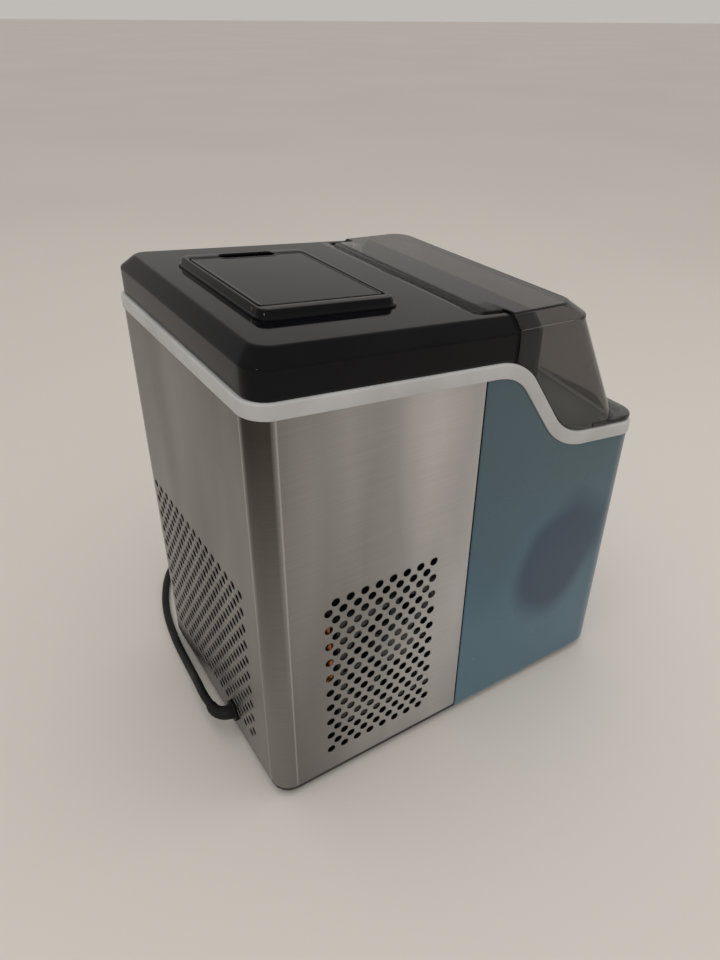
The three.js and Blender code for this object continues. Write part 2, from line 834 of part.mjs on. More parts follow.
function buildHood() {
  const beside = [-1, 1].map((way) => {
    const inside = way * (cheekInner - fit);
    const outside = way * (half + overrun);
    return box(
      [Math.min(inside, outside), cheekFront - fit, 0],
      [Math.max(inside, outside), back, 2 * depth],
    );
  });
  const lip = slab(
    plan(lipHalf, lipFront, lipBack, lipCorner, 0),
    lipFoot,
    (y) => lipFoot(y) + lipThickness,
  );
  const barrel = bar(
    [fit - cheekInner, hingeDepth, hingeHeight],
    [cheekInner - fit, hingeDepth, hingeHeight],
    hoodBarrel,
    roundSides,
  );
  const holes = [-1, 1].map((way) =>
    bar(
      [way * (cheekInner - hingePinLength / 2 - fit), hingeDepth, hingeHeight],
      [way * (cheekInner + overrun), hingeDepth, hingeHeight],
      hingePinRadius + fit,
    ),
  );
  const inside = hoodSkin(hoodWall);
  const shell = cut(hoodSkin(0), belowTrim(-hoodGap), ...beside);
  const hood = cut(join(shell, lip), inside);
  piece("window_lid", cut(join(hood, barrel), ...holes), 0x5d5a57, 0.1, 0);
  ["left", "right"].forEach((side, i) => {
    const way = 2 * i - 1;
    const pin = bar([-hingePinLength / 2, 0, 0], [hingePinLength / 2, 0, 0], hingePinRadius);
    const place = [way * cheekInner, hingeDepth, hingeHeight];
    piece(`lid_pin_${side}`, pin, 0x9a9a98, 0.3, 0.9, place);
  });
  const strip = slab(
    plan(lipHalf - fit, lipFront + fit, lipFront + sealWidth, lipCorner / 2, 0),
    sealFoot,
    (y) => sealFoot(y) + sealThickness,
  );
  piece("lid_seal", strip, 0x101010, 0.8, 0);
}

// Inner wall, chute and flap
const chuteFloor = (y) =>
  chuteFloorFront +
  ((y - chuteFront) / (chuteBack - chuteFront)) * (chuteFloorBack - chuteFloorFront);

function buildInnerWall() {
  const top = hoodTop(innerWallFront) - hoodWall - innerClearance;
  const halfHigh = hoodHalf - hoodWall - innerClearance;
  const step = trimBackLine(innerWallFront) - stepRadius;
  const outline = [
    [-innerHalf, innerWallFoot],
    [innerHalf, innerWallFoot],
    [innerHalf, step - 3 * overrun],
    [halfHigh, step],
    [halfHigh, top - chamfer],
    [halfHigh - chamfer, top],
    [chamfer - halfHigh, top],
    [-halfHigh, top - chamfer],
    [-halfHigh, step],
    [-innerHalf, step - 3 * overrun],
  ];
  const window = box(
    [-chuteHalf - fit, innerWallFront - overrun, chuteFloor(innerWallFront) - chuteWall - 2 * fit],
    [
      chuteHalf + fit,
      innerWallFront + innerWall + overrun,
      chuteFloor(innerWallFront + innerWall) + chuteHeight + fit,
    ],
  );
  const wall = through(outline, innerWallFront, innerWallFront + innerWall);
  piece("inner_wall", cut(wall, window), 0x2a2a2b, 0.5, 0);

  const trough = across(
    [
      [chuteFront, chuteFloor(chuteFront) - chuteWall],
      [chuteBack, chuteFloor(chuteBack) - chuteWall],
      [chuteBack, chuteFloor(chuteBack) + chuteHeight - 2 * overrun],
      [chuteFront, chuteFloor(chuteFront) + chuteHeight - fit],
    ],
    -chuteHalf,
    chuteHalf,
  );
  const channel = across(
    [
      [chuteFront - overrun, chuteFloor(chuteFront - overrun)],
      [chuteBack + overrun, chuteFloor(chuteBack + overrun)],
      [chuteBack + overrun, 2 * depth],
      [chuteFront - overrun, 2 * depth],
    ],
    chuteWall - chuteHalf,
    chuteHalf - chuteWall,
  );
  const flapZ = chuteFloor(chuteFront) + chuteHeight - 2 * overrun;
  const flapY = chuteFront + overrun;
  const flapHoles = bar(
    [-chuteHalf - overrun, flapY, flapZ],
    [chuteHalf + overrun, flapY, flapZ],
    flapPinRadius + fit,
  );
  piece("ice_chute", cut(trough, channel, flapHoles), 0xd9dadb, 0.4, 0);

  const flapHalf = chuteHalf - chuteWall - 2 * fit;
  const leaf = box(
    [-flapHalf, flapY - flapThickness / 2, chuteFloor(flapY) + 2 * fit],
    [flapHalf, flapY + flapThickness / 2, flapZ],
  );
  const rod = bar([fit - chuteHalf, flapY, flapZ], [chuteHalf - fit, flapY, flapZ], flapPinRadius);
  piece("chute_flap", join(leaf, rod), 0xb9babb, 0.4, 0);
}

// Ice tub, foam and basket
function tubSkin(inset) {
  return [
    [tubFront + inset, tubFloor + inset],
    [tubBack - inset, tubFloor + inset],
    [tubBack - inset, tubRearHeight],
    [tubLowDepth, tubLowHeight],
    [tubLowDepth - tubFlange, trimFrontLine(tubLowDepth - tubFlange)],
    [tubFront + inset, trimFrontLine(tubFront)],
  ];
}

function buildTub() {
  const outside = across(tubSkin(0), -tubHalf, tubHalf);
  const hollowLine = [
    ...tubSkin(tubWall).slice(0, 2),
    [tubBack - tubWall, 2 * depth],
    [tubFront + tubWall, 2 * depth],
  ];
  const hollow = across(hollowLine, tubWall - tubHalf, tubHalf - tubWall);
  const slopeLine = [
    [tubBack, tubRearHeight],
    [tubLowDepth, tubLowHeight],
    [tubLowDepth, tubLowHeight - tubFlangeThickness],
    [tubBack, tubRearHeight - tubFlangeThickness],
  ];
  const slopeFlange = across(slopeLine, -tubHalf - tubFlange, tubHalf + tubFlange);
  const brim = slab(
    plan(
      innerHalf,
      front + trimWall - trimProud + fit,
      tubLowDepth,
      frontCorner - trimWall + trimProud - fit,
      0,
    ),
    (y) => trimFrontLine(y) - tubFlangeThickness,
    trimFrontLine,
  );
  const chuteRoom = box(
    [-chuteHalf - fit, tubBack - tubWall - overrun, chuteFloor(tubBack - tubWall) - chuteWall - 2 * fit],
    [chuteHalf + fit, tubBack + overrun, 2 * depth],
  );
  const tub = cut(join(outside, slopeFlange, brim), hollow, chuteRoom);
  piece("ice_tub", tub, 0x8f9293, 0.45, 0);

  const foamTop = trimFrontHeight - trimHeight - 2 * overrun;
  const foamOut = meet(
    upright(bodyPlan(sheet + fit), foamFoot, foamTop),
    box([-width, front, 0], [width, innerWallFront - fit, 2 * depth]),
  );
  const foamIn = box(
    [-tubHalf - fit, tubFront - fit, tubFloor - fit],
    [tubHalf + fit, innerWallFront + overrun, 2 * depth],
  );
  const panelRoom = box(
    [-panelHalf - 2 * fit, front, panelFoot - 2 * fit],
    [
      panelHalf + 2 * fit,
      front - panelProud + panelThickness + buttonTravel,
      panelFoot + panelHeight + 2 * fit,
    ],
  );
  piece("tub_foam", cut(foamOut, foamIn, panelRoom), 0xe8e8e4, 0.95, 0);
}

function basketSkin(inset, floor, top) {
  const lean = basketDraft / (basketRim - basketFloor);
  const ring = (z) => {
    const drawn = inset + (basketRim - z) * lean;
    return lifted(
      plan(basketHalf - drawn, basketFront + drawn, basketBack - drawn, 2 * basketDraft),
      level(z),
    );
  };
  return skin([ring(floor), ring(top)]);
}

function buildBasket() {
  const hollow = basketSkin(basketWall, basketFloor + basketWall, basketRim + overrun);
  const slotStep = (2 * (basketHalf - 4 * basketDraft)) / (basketSlots + 1);
  const slotEnd = (basketBack - basketFront) * basketSlotEndShare;
  const slots = Array.from({ length: basketSlots }, (_, i) => {
    const x = (i - (basketSlots - 1) / 2) * slotStep;
    return box(
      [x - basketSlotWidth / 2, basketFront + slotEnd, basketFloor - overrun],
      [x + basketSlotWidth / 2, basketBack - slotEnd, basketFloor + overrun],
    );
  });
  const bailZ = basketRim - bailDrop;
  const lean = basketDraft / (basketRim - basketFloor);
  const wallAtBail = basketHalf - bailDrop * lean;
  const pivots = bar(
    [-width, bailDepth, bailZ],
    [width, bailDepth, bailZ],
    bailRod + fit,
  );
  const basket = cut(basketSkin(0, basketFloor, basketRim), hollow, ...slots, pivots);
  piece("ice_basket", basket, 0xb4b8ba, 0.3, 0);

  const armX = wallAtBail - basketWall - bailRod - 2 * fit;
  const barY = bailDepth - bailReach;
  const arms = [-1, 1].flatMap((way) => [
    bar([way * armX, bailDepth, bailZ], [way * armX, barY, bailZ], bailRod),
    bar([way * (armX - bailRod), bailDepth, bailZ], [way * wallAtBail, bailDepth, bailZ], bailRod),
  ]);
  const grip = bar([-armX - bailRod, barY, bailZ], [armX + bailRod, barY, bailZ], bailRod);
  piece("basket_handle", join(grip, ...arms), 0x9fa3a5, 0.3, 0);
}

// Water tank
function buildTank() {
  const inside = half - sheet - fit;
  const jacketHole = bar(
    [0, barrelY, 0],
    [0, barrelY, 2 * depth],
    jacketRadius + fit,
    roundSides,
  );
  const hoseHole = bar(
    [pumpX, pumpY, 0],
    [pumpX, pumpY, 2 * depth],
    hoseRadius + fit,
  );
  const shelfPlan = meet(
    upright(bodyPlan(sheet + fit), shelfHeight, shelfHeight + shelfThickness),
    box([shelfLeft, innerWallFront + innerWall + fit, 0], [inside, back, 2 * depth]),
  );
  piece("tank_shelf", cut(shelfPlan, jacketHole, hoseHole), 0x3a3b3c, 0.6, 0);

  const tank = cut(
    box([tankLeft, tankFront, tankFloor], [tankRight, tankBack, tankRim]),
    box(
      [tankLeft + tankWall, tankFront + tankWall, tankFloor + tankWall],
      [tankRight - tankWall, tankBack - tankWall, tankRim + overrun],
    ),
    bar([pumpX, pumpY, tankFloor - overrun], [pumpX, pumpY, tankFloor + overrun], hoseRadius + fit),
  );
  piece("water_tank", tank, 0xcfd6da, 0.3, 0);

  const basinPlan = plan(mouthHalf + basinWall, mouthFront - basinWall, mouthBack + basinWall, frameCorner);
  const basinHollow = plan(mouthHalf, mouthFront, mouthBack, frameCorner);
  const underCover = (y) => coverTop(y) - coverWall - fit;
  const basin = cut(
    slab(basinPlan, level(basinFoot), underCover),
    slab(basinHollow, level(basinFoot - overrun), (y) => underCover(y) + overrun),
  );
  piece("fill_basin", basin, 0x26282a, 0.4, 0);

  const bottom = tankFloor + tankWall + fit;
  const stem = turned(
    [
      [0, bottom],
      [stemFlange, bottom],
      [stemFlange, bottom + stemFlangeThickness],
      [floatStemRadius, bottom + stemFlangeThickness],
      [floatStemRadius, bottom + floatStemHeight],
      [0, bottom + floatStemHeight],
    ],
    floatPlaceX,
    floatPlaceY,
    smallSides,
  );
  piece("float_stem", stem, 0xe4e4e0, 0.5, 0);
  const low = bottom + stemFlangeThickness + fit;
  const ring = turned(
    [
      [floatStemRadius + 2 * fit, low],
      [floatRadius, low],
      [floatRadius, low + floatHeight],
      [floatStemRadius + 2 * fit, low + floatHeight],
      [floatStemRadius + 2 * fit, low],
    ],
    floatPlaceX,
    floatPlaceY,
    smallSides,
  );
  piece("water_float", ring, 0xf0efe9, 0.6, 0);
}

// Cooling circuit
function buildCooling() {
  const foot = compressorFoot;
  const top = foot + compressorHeight;
  const domeDrop = compressorRadius / 2;
  const pot = turned(
    [
      [0, foot],
      [compressorRadius * 0.8, foot],
      [compressorRadius, foot + domeDrop],
      [compressorRadius, top - domeDrop],
      [compressorRadius * 0.86, top - domeDrop / 3],
      [compressorRadius * 0.5, top],
      [0, top],
    ],
    compressorX,
    compressorY,
  );
  piece("compressor", pot, 0x1c1c1d, 0.5, 0.3);
  const grommet = turned(
    [
      [0, 0],
      [mountRadius, 0],
      [mountRadius * 0.8, (foot - panFloor - panThickness) / 2],
      [mountRadius, foot - panFloor - panThickness - 2 * fit],
      [0, foot - panFloor - panThickness - 2 * fit],
    ],
    0,
    0,
    smallSides,
  );
  const mountReach = compressorRadius * 0.8 - mountRadius;
  for (let i = 0; i < 3; i++) {
    const angle = (2 * Math.PI * i) / 3;
    const place = [
      compressorX + mountReach * Math.cos(angle),
      compressorY + mountReach * Math.sin(angle),
      panFloor + panThickness + fit,
    ];
    piece(`compressor_mount_${i + 1}`, grommet, 0x171717, 0.9, 0, place);
  }

  // Fan, turning about an axis along X
  const fanGroup = new THREE.Group();
  fanGroup.position.set(machineLeft, fanY, fanZ);
  iceMaker.add(fanGroup);
  const s = fanSize / 2;
  const ringBox = box([0, -s, -s], [fanDepth, s, s]);
  const bore = bar([-overrun, 0, 0], [fanDepth + overrun, 0, 0], fanBore, roundSides);
  const spokes = [0, 1].map((i) =>
    box(
      [fanDepth - spokeWidth, i ? -s : -spokeWidth / 2, i ? -spokeWidth / 2 : -s],
      [fanDepth, i ? s : spokeWidth / 2, i ? spokeWidth / 2 : s],
    ),
  );
  const plate = bar([fanDepth - spokeWidth, 0, 0], [fanDepth, 0, 0], fanHub, roundSides);
  piece("fan_frame", join(cut(ringBox, bore), ...spokes, plate), 0x2b2b2c, 0.6, 0, [0, 0, 0], fanGroup);
  const motorEnd = fanDepth - spokeWidth - fit;
  const motor = join(
    bar([motorEnd - motorDepth / 2, 0, 0], [motorEnd, 0, 0], fanHub * 0.8, roundSides),
    bar([motorEnd - motorDepth, 0, 0], [motorEnd, 0, 0], motorShaft),
  );
  piece("fan_motor", motor, 0x8b8b88, 0.4, 0.6, [0, 0, 0], fanGroup);
  const hubBack = motorEnd - motorDepth / 2 - fit;
  const hubFront = 2 * fit + spokeWidth / 2;
  const socket = bar([hubBack - motorDepth / 2 - fit, 0, 0], [hubBack + overrun, 0, 0], motorShaft + fit);
  const hub = cut(bar([hubFront, 0, 0], [hubBack, 0, 0], fanHub, roundSides), socket);
  const blades = Array.from({ length: fanBlades }, (_, i) => {
    const blade = new THREE.BoxGeometry(
      hubBack - hubFront - spokeWidth,
      bladeThickness,
      fanBore - fanHub - 2 * fit,
    );
    blade.rotateZ(bladeTwist);
    blade.translate((hubFront + hubBack) / 2, 0, (fanBore + fanHub) / 2 - sink * 2);
    return blade.rotateX((2 * Math.PI * i) / fanBlades);
  });
  piece("fan_blade", join(hub, ...blades), 0xb7b9ba, 0.5, 0, [0, 0, 0], fanGroup);

  // Condenser: fins on one spine, behind the fan
  const finPitch = fanSize / condenserFins;
  const comb = [];
  for (let i = 0; i < condenserFins; i++) {
    const y = fanY - s + i * finPitch;
    comb.push([y, 0], [y + finPitch * finShare, 0]);
    comb.push([y + finPitch * finShare, 1], [y + finPitch, 1]);
  }
  const spineDepth = condenserDepth / 4;
  const combLine = comb
    .slice(0, -2)
    .map(([y, deep]) => [condenserLeft + deep * (condenserDepth - spineDepth), y]);
  const lastY = combLine.at(-1)[1];
  combLine.push([condenserLeft + condenserDepth, lastY], [condenserLeft + condenserDepth, fanY - s]);
  piece("condenser", upright(combLine, fanZ - s, fanZ + s), 0x9c9fa0, 0.4, 0.8);

  // Evaporator barrel with its jacket, auger and gear motor
  const barrel = turned(
    [
      [barrelBore, barrelFoot],
      [barrelRadius, barrelFoot],
      [barrelRadius, barrelTop],
      [barrelBore, barrelTop],
      [barrelBore, barrelFoot],
    ],
    0,
    barrelY,
  );
  piece("evaporator_barrel", barrel, 0xa9a9a6, 0.3, 0.9);
  const jacket = turned(
    [
      [barrelRadius + fit, barrelFoot + jacketInset],
      [jacketRadius, barrelFoot + jacketInset],
      [jacketRadius, barrelTop - jacketInset],
      [barrelRadius + fit, barrelTop - jacketInset],
      [barrelRadius + fit, barrelFoot + jacketInset],
    ],
    0,
    barrelY,
  );
  piece("evaporator_jacket", jacket, 0x222223, 0.9, 0);

  const flightLength = augerTurns * augerPitch;
  const flightFoot = barrelFoot + augerFlight;
  const flightSteps = augerTurns * smallSides;
  const section = Array.from({ length: flightSteps + 1 }, (_, i) => {
    const angle = (2 * Math.PI * (i + 0.5)) / smallSides;
    const z = flightFoot + (flightLength * i) / flightSteps;
    return [
      [augerCore / 2, z],
      [augerCore / 2, z + augerFlight],
      [augerRadius, z + augerFlight],
      [augerRadius, z],
    ].map(([r, h]) => [r * Math.cos(angle), barrelY + r * Math.sin(angle), h]);
  });
  const shaft = bar(
    [0, barrelY, motorTop - overrun],
    [0, barrelY, barrelTop + headHeight / 2],
    augerCore,
    smallSides,
  );
  piece("auger", join(skin(section), shaft), 0xb3b3b0, 0.25, 0.9);

  const gearCase = join(
    box([-motorHalf, barrelY - motorHalf, motorFoot], [motorHalf, barrelY + motorHalf, motorTop]),
    bar([0, barrelY, motorTop - sink], [0, barrelY, barrelFoot - fit], barrelRadius, roundSides),
  );
  const gearSocket = bar(
    [0, barrelY, motorTop - overrun - fit],
    [0, barrelY, barrelFoot + overrun],
    augerCore / Math.cos(Math.PI / smallSides) + fit,
    smallSides,
  );
  piece("gear_motor", cut(gearCase, gearSocket), 0x3d3f41, 0.5, 0.2);

  const head = cut(
    bar([0, barrelY, headFoot], [0, barrelY, headFoot + headHeight], headRadius, roundSides),
    bar([0, barrelY, headFoot - overrun], [0, barrelY, headFoot + headHeight / 2 + 2 * fit], augerRadius),
    box(
      [-augerRadius / 2, chuteBack - overrun, chuteFloorBack],
      [augerRadius / 2, barrelY, headFoot + headHeight / 2],
    ),
  );
  piece("ice_head", head, 0xdadbdc, 0.4, 0);
}

// Pipes, dryer, pump and hoses
function buildPipes() {
  const potMiddle = compressorFoot + compressorHeight / 2;
  const besidePot = (degrees, away, z) => {
    const angle = THREE.MathUtils.degToRad(degrees);
    const reach = compressorRadius + fit + away;
    return [compressorX + reach * Math.cos(angle), compressorY + reach * Math.sin(angle), z];
  };
  const fanRear = fanY + fanSize / 2;
  const pipeX = machineLeft + 2 * pipeRadius;
  const pipeY = fanRear + 1.5 * pipeRadius;
  const discharge = tube(
    [
      besidePot(180, 0, potMiddle),
      besidePot(180, 4 * pipeRadius, potMiddle),
      [condenserRight + 4 * pipeRadius, pipeY + 3 * pipeRadius, potMiddle],
      [pipeX + 4 * pipeRadius, pipeY + 2 * pipeRadius, potMiddle],
      [pipeX, pipeY, potMiddle + 5 * pipeRadius],
      [pipeX, pipeY, fanZ + fanSize / 2],
    ],
    pipeRadius,
    pipeSides,
    22,
  );
  piece("discharge_pipe", discharge, 0xb06a3c, 0.35, 0.9);
  const dryerX = condenserRight + dryerRadius + fit;
  const dryerY = motorBack + dryerRadius + 2 * fit;
  const dryerFoot = panFloor + panThickness + fit;
  const dryerTop = dryerFoot + dryerLength;
  const dryer = turned(
    [
      [0, dryerFoot],
      [dryerRadius / 2, dryerFoot],
      [dryerRadius, dryerFoot + dryerRadius],
      [dryerRadius, dryerTop - dryerRadius],
      [dryerRadius / 2, dryerTop],
      [0, dryerTop],
    ],
    dryerX,
    dryerY,
    smallSides,
  );
  piece("filter_dryer", dryer, 0xb8733f, 0.35, 0.9);
  const suctionStart = barrelY + jacketRadius + pipeRadius + fit;
  const suction = tube(
    [
      [-4 * pipeRadius, suctionStart, shelfHeight - fit],
      [-4 * pipeRadius, suctionStart, potMiddle + 8 * pipeRadius],
      besidePot(205, 4 * pipeRadius, potMiddle + 5 * pipeRadius),
      besidePot(205, 2 * pipeRadius, potMiddle + 4 * pipeRadius),
      besidePot(205, 0, potMiddle + 4 * pipeRadius),
    ],
    pipeRadius,
    pipeSides,
    16,
  );
  piece("suction_pipe", suction, 0xb06a3c, 0.35, 0.9);

  const pumpFoot = panFloor + panThickness + fit;
  const pumpTop = pumpFoot + pumpHeight;
  const pump = join(
    bar([pumpX, pumpY, pumpFoot], [pumpX, pumpY, pumpTop], pumpRadius, roundSides),
    bar([pumpX, pumpY, pumpTop - sink], [pumpX, pumpY, pumpTop + hoseRadius], hoseRadius),
  );
  piece("water_pump", pump, 0x2f3133, 0.5, 0);
  const hoseTop = tankFloor + tankWall;
  const hose = bar(
    [pumpX, pumpY, pumpTop + hoseRadius + fit],
    [pumpX, pumpY, hoseTop],
    hoseRadius,
  );
  piece("tank_hose", hose, 0xcdd2d4, 0.5, 0);
  const neckMiddle = (motorTop + barrelFoot) / 2;
  const besidePump = (away) => {
    const reach = Math.SQRT1_2 * (pumpRadius + fit + away);
    return [pumpX - reach, pumpY - reach, pumpFoot + pumpHeight / 2];
  };
  const feed = tube(
    [
      besidePump(0),
      besidePump(3 * hoseRadius),
      [-motorHalf, (pumpY + motorBack) / 2 - 2 * hoseRadius, pumpTop + hoseRadius],
      [-motorHalf - 1.2 * hoseRadius, motorBack + 2 * hoseRadius, dryerTop + 2 * hoseRadius],
      [-motorHalf - hoseRadius, barrelY + 2 * hoseRadius, neckMiddle - hoseRadius / 2],
      [-barrelRadius - 2 * hoseRadius, barrelY, neckMiddle],
      [-barrelRadius - fit, barrelY, neckMiddle],
    ],
    hoseRadius,
    pipeSides,
    20,
  );
  piece("feed_hose", feed, 0xcdd2d4, 0.5, 0);
}

// Controls
function buildControls() {
  const boardFront = innerWallFront - fit - standoff - boardThickness;
  const plate = box(
    [-boardHalf, boardFront, boardFoot],
    [boardHalf, boardFront + boardThickness, boardFoot + boardHeight],
  );
  const posts = [-1, 1].flatMap((sideways) =>
    [standoff, boardHeight - standoff].map((rise) => {
      const x = sideways * (boardHalf - standoff);
      const z = boardFoot + rise;
      return bar(
        [x, boardFront + boardThickness - sink, z],
        [x, innerWallFront - fit, z],
        standoff / 2,
        smallSides,
      );
    }),
  );
  const relayShares = [-0.6, -0.2, 0.3];
  const relays = relayShares.map((share) =>
    box(
      [share * boardHalf, boardFront - 3 * standoff, boardFoot + 2 * standoff],
      [share * boardHalf + 3 * standoff, boardFront + sink, boardFoot + 6 * standoff],
    ),
  );
  piece("control_board", join(plate, ...posts, ...relays), 0x2e5a3c, 0.6, 0);

  const panelFront = front - panelProud;
  const panelBack = panelFront + panelThickness;
  const panelTop = panelFoot + panelHeight;
  const middle = panelFoot + panelHeight / 2;
  const spots = [-1, 0, 1].map((i) => i * buttonSpacing);
  const wells = spots.flatMap((x) => [
    bar(
      [x, panelFront - overrun, middle],
      [x, panelBack + overrun, middle],
      buttonRadius + fit,
      roundSides,
    ),
    bar(
      [x, panelBack - buttonSkirtDepth - 2 * fit, middle],
      [x, panelBack + overrun, middle],
      buttonRadius + buttonSkirt + fit,
      roundSides,
    ),
  ]);
  const lensX = buttonSpacing / 2;
  const lensRoom = box(
    [lensX - lensHalf / 2 - fit, panelFront - overrun, middle - lensHeight - fit],
    [lensX + lensHalf / 2 + fit, panelFront + lensDepth, middle + lensHeight + fit],
  );
  const plateBox = box([-panelHalf, panelFront, panelFoot], [panelHalf, panelBack, panelTop]);
  piece("control_panel", cut(plateBox, lensRoom, ...wells), 0x141416, 0.2, 0);
  const lens = box(
    [-lensHalf / 2, 0, -lensHeight],
    [lensHalf / 2, lensDepth - fit, lensHeight],
  );
  piece("indicator_lens", lens, 0xd8e6ea, 0.2, 0, [lensX, panelFront, middle]);
  const skirtBack = panelBack - 2 * fit;
  const skirtFront = skirtBack - buttonSkirtDepth + 2 * fit;
  const button = join(
    bar([0, panelFront - buttonProud, 0], [0, skirtBack, 0], buttonRadius, roundSides),
    bar([0, skirtFront, 0], [0, skirtBack, 0], buttonRadius + buttonSkirt, roundSides),
  );
  ["power", "ice", "clean"].forEach((name, i) =>
    piece(`${name}_button`, button, 0x2c2c2e, 0.35, 0, [spots[i], 0, middle]),
  );
}

// Drain
function buildDrain() {
  const outer = half - sheet;
  const inner = outer - fit - drainLength;
  const sleeve = cut(
    bar([inner, 0, 0], [outer - fit, 0, 0], drainRadius + drainTubeWall, roundSides),
    bar([inner - overrun, 0, 0], [outer + overrun, 0, 0], drainRadius - sink, roundSides),
  );
  piece("drain_socket", sleeve, 0x3a3c3e, 0.5, 0, [0, drainY, drainZ]);
  const plug = join(
    bar([outer - drainLength, 0, 0], [half + 2 * fit, 0, 0], drainRadius - sink - fit, roundSides),
    bar([half + fit, 0, 0], [half + fit + drainHeadThickness, 0, 0], drainHead, roundSides),
  );
  piece("drain_plug", plug, 0x202122, 0.7, 0, [0, drainY, drainZ]);
}

// Mains lead: gland and boot, the free stretch, the coil with its tie, and the plug
const cordRadius = cordDiameter / 2;
const bootStart = back + fit + glandFlangeThickness;
const bootAngle = bootLength / bootBend;

// Bend of the boot's middle line from straight back towards the right
const bootPoint = (angle) => [
  glandX + bootBend * (1 - Math.cos(angle)),
  bootStart + bootBend * Math.sin(angle),
  glandZ,
];

const bootEnd = bootPoint(bootAngle);
const bootTip = (reach) => [
  bootEnd[0] + reach * Math.sin(bootAngle),
  bootEnd[1] + reach * Math.cos(bootAngle),
  glandZ,
];

// Coil: spirals in on the lower layer, climbs in the half turn where it reverses, spirals out
const coilLift = cordRadius + tieThickness + fit;
const coilOuter = coilInner + (coilPitch * coilTurns) / 2;
const coilTravel = Math.PI * coilTurns;

function coilPoint(turn) {
  const radius = coilInner + (coilPitch * Math.abs(turn)) / (2 * Math.PI);
  const climb = Math.min(Math.max((turn + Math.PI / 2) / Math.PI, 0), 1);
  const angle = -turn - coilTravel;
  return [
    coilX + radius * Math.cos(angle),
    coilY + radius * Math.sin(angle),
    coilLift + climb * coilPitch,
  ];
}

// Least gap between two turns, measured on points half a turn or more apart
function leastGap(points, diameter) {
  const apart = coilSteps / 2;
  let least = Infinity;
  points.forEach((p, i) =>
    points.slice(i + apart).forEach((q) => {
      least = Math.min(least, Math.hypot(p[0] - q[0], p[1] - q[1], p[2] - q[2]) - diameter);
    }),
  );
  return least;
}

function tubeAlong(points, radiusAt, sides) {
  const rings = points.map((p, i) => {
    const before = new THREE.Vector3(...points[Math.max(i - 1, 0)]);
    const after = new THREE.Vector3(...points[Math.min(i + 1, points.length - 1)]);
    const ahead = after.sub(before).normalize();
    const aside = new THREE.Vector3().crossVectors(ahead, axisZ).normalize();
    const up = new THREE.Vector3().crossVectors(aside, ahead);
    return Array.from({ length: sides }, (_, k) => {
      const angle = (2 * Math.PI * (k + 0.5)) / sides;
      const r = radiusAt(i / (points.length - 1));
      return new THREE.Vector3(...p)
        .addScaledVector(aside, -r * Math.cos(angle))
        .addScaledVector(up, r * Math.sin(angle))
        .toArray();
    });
  });
  return skin(rings);
}

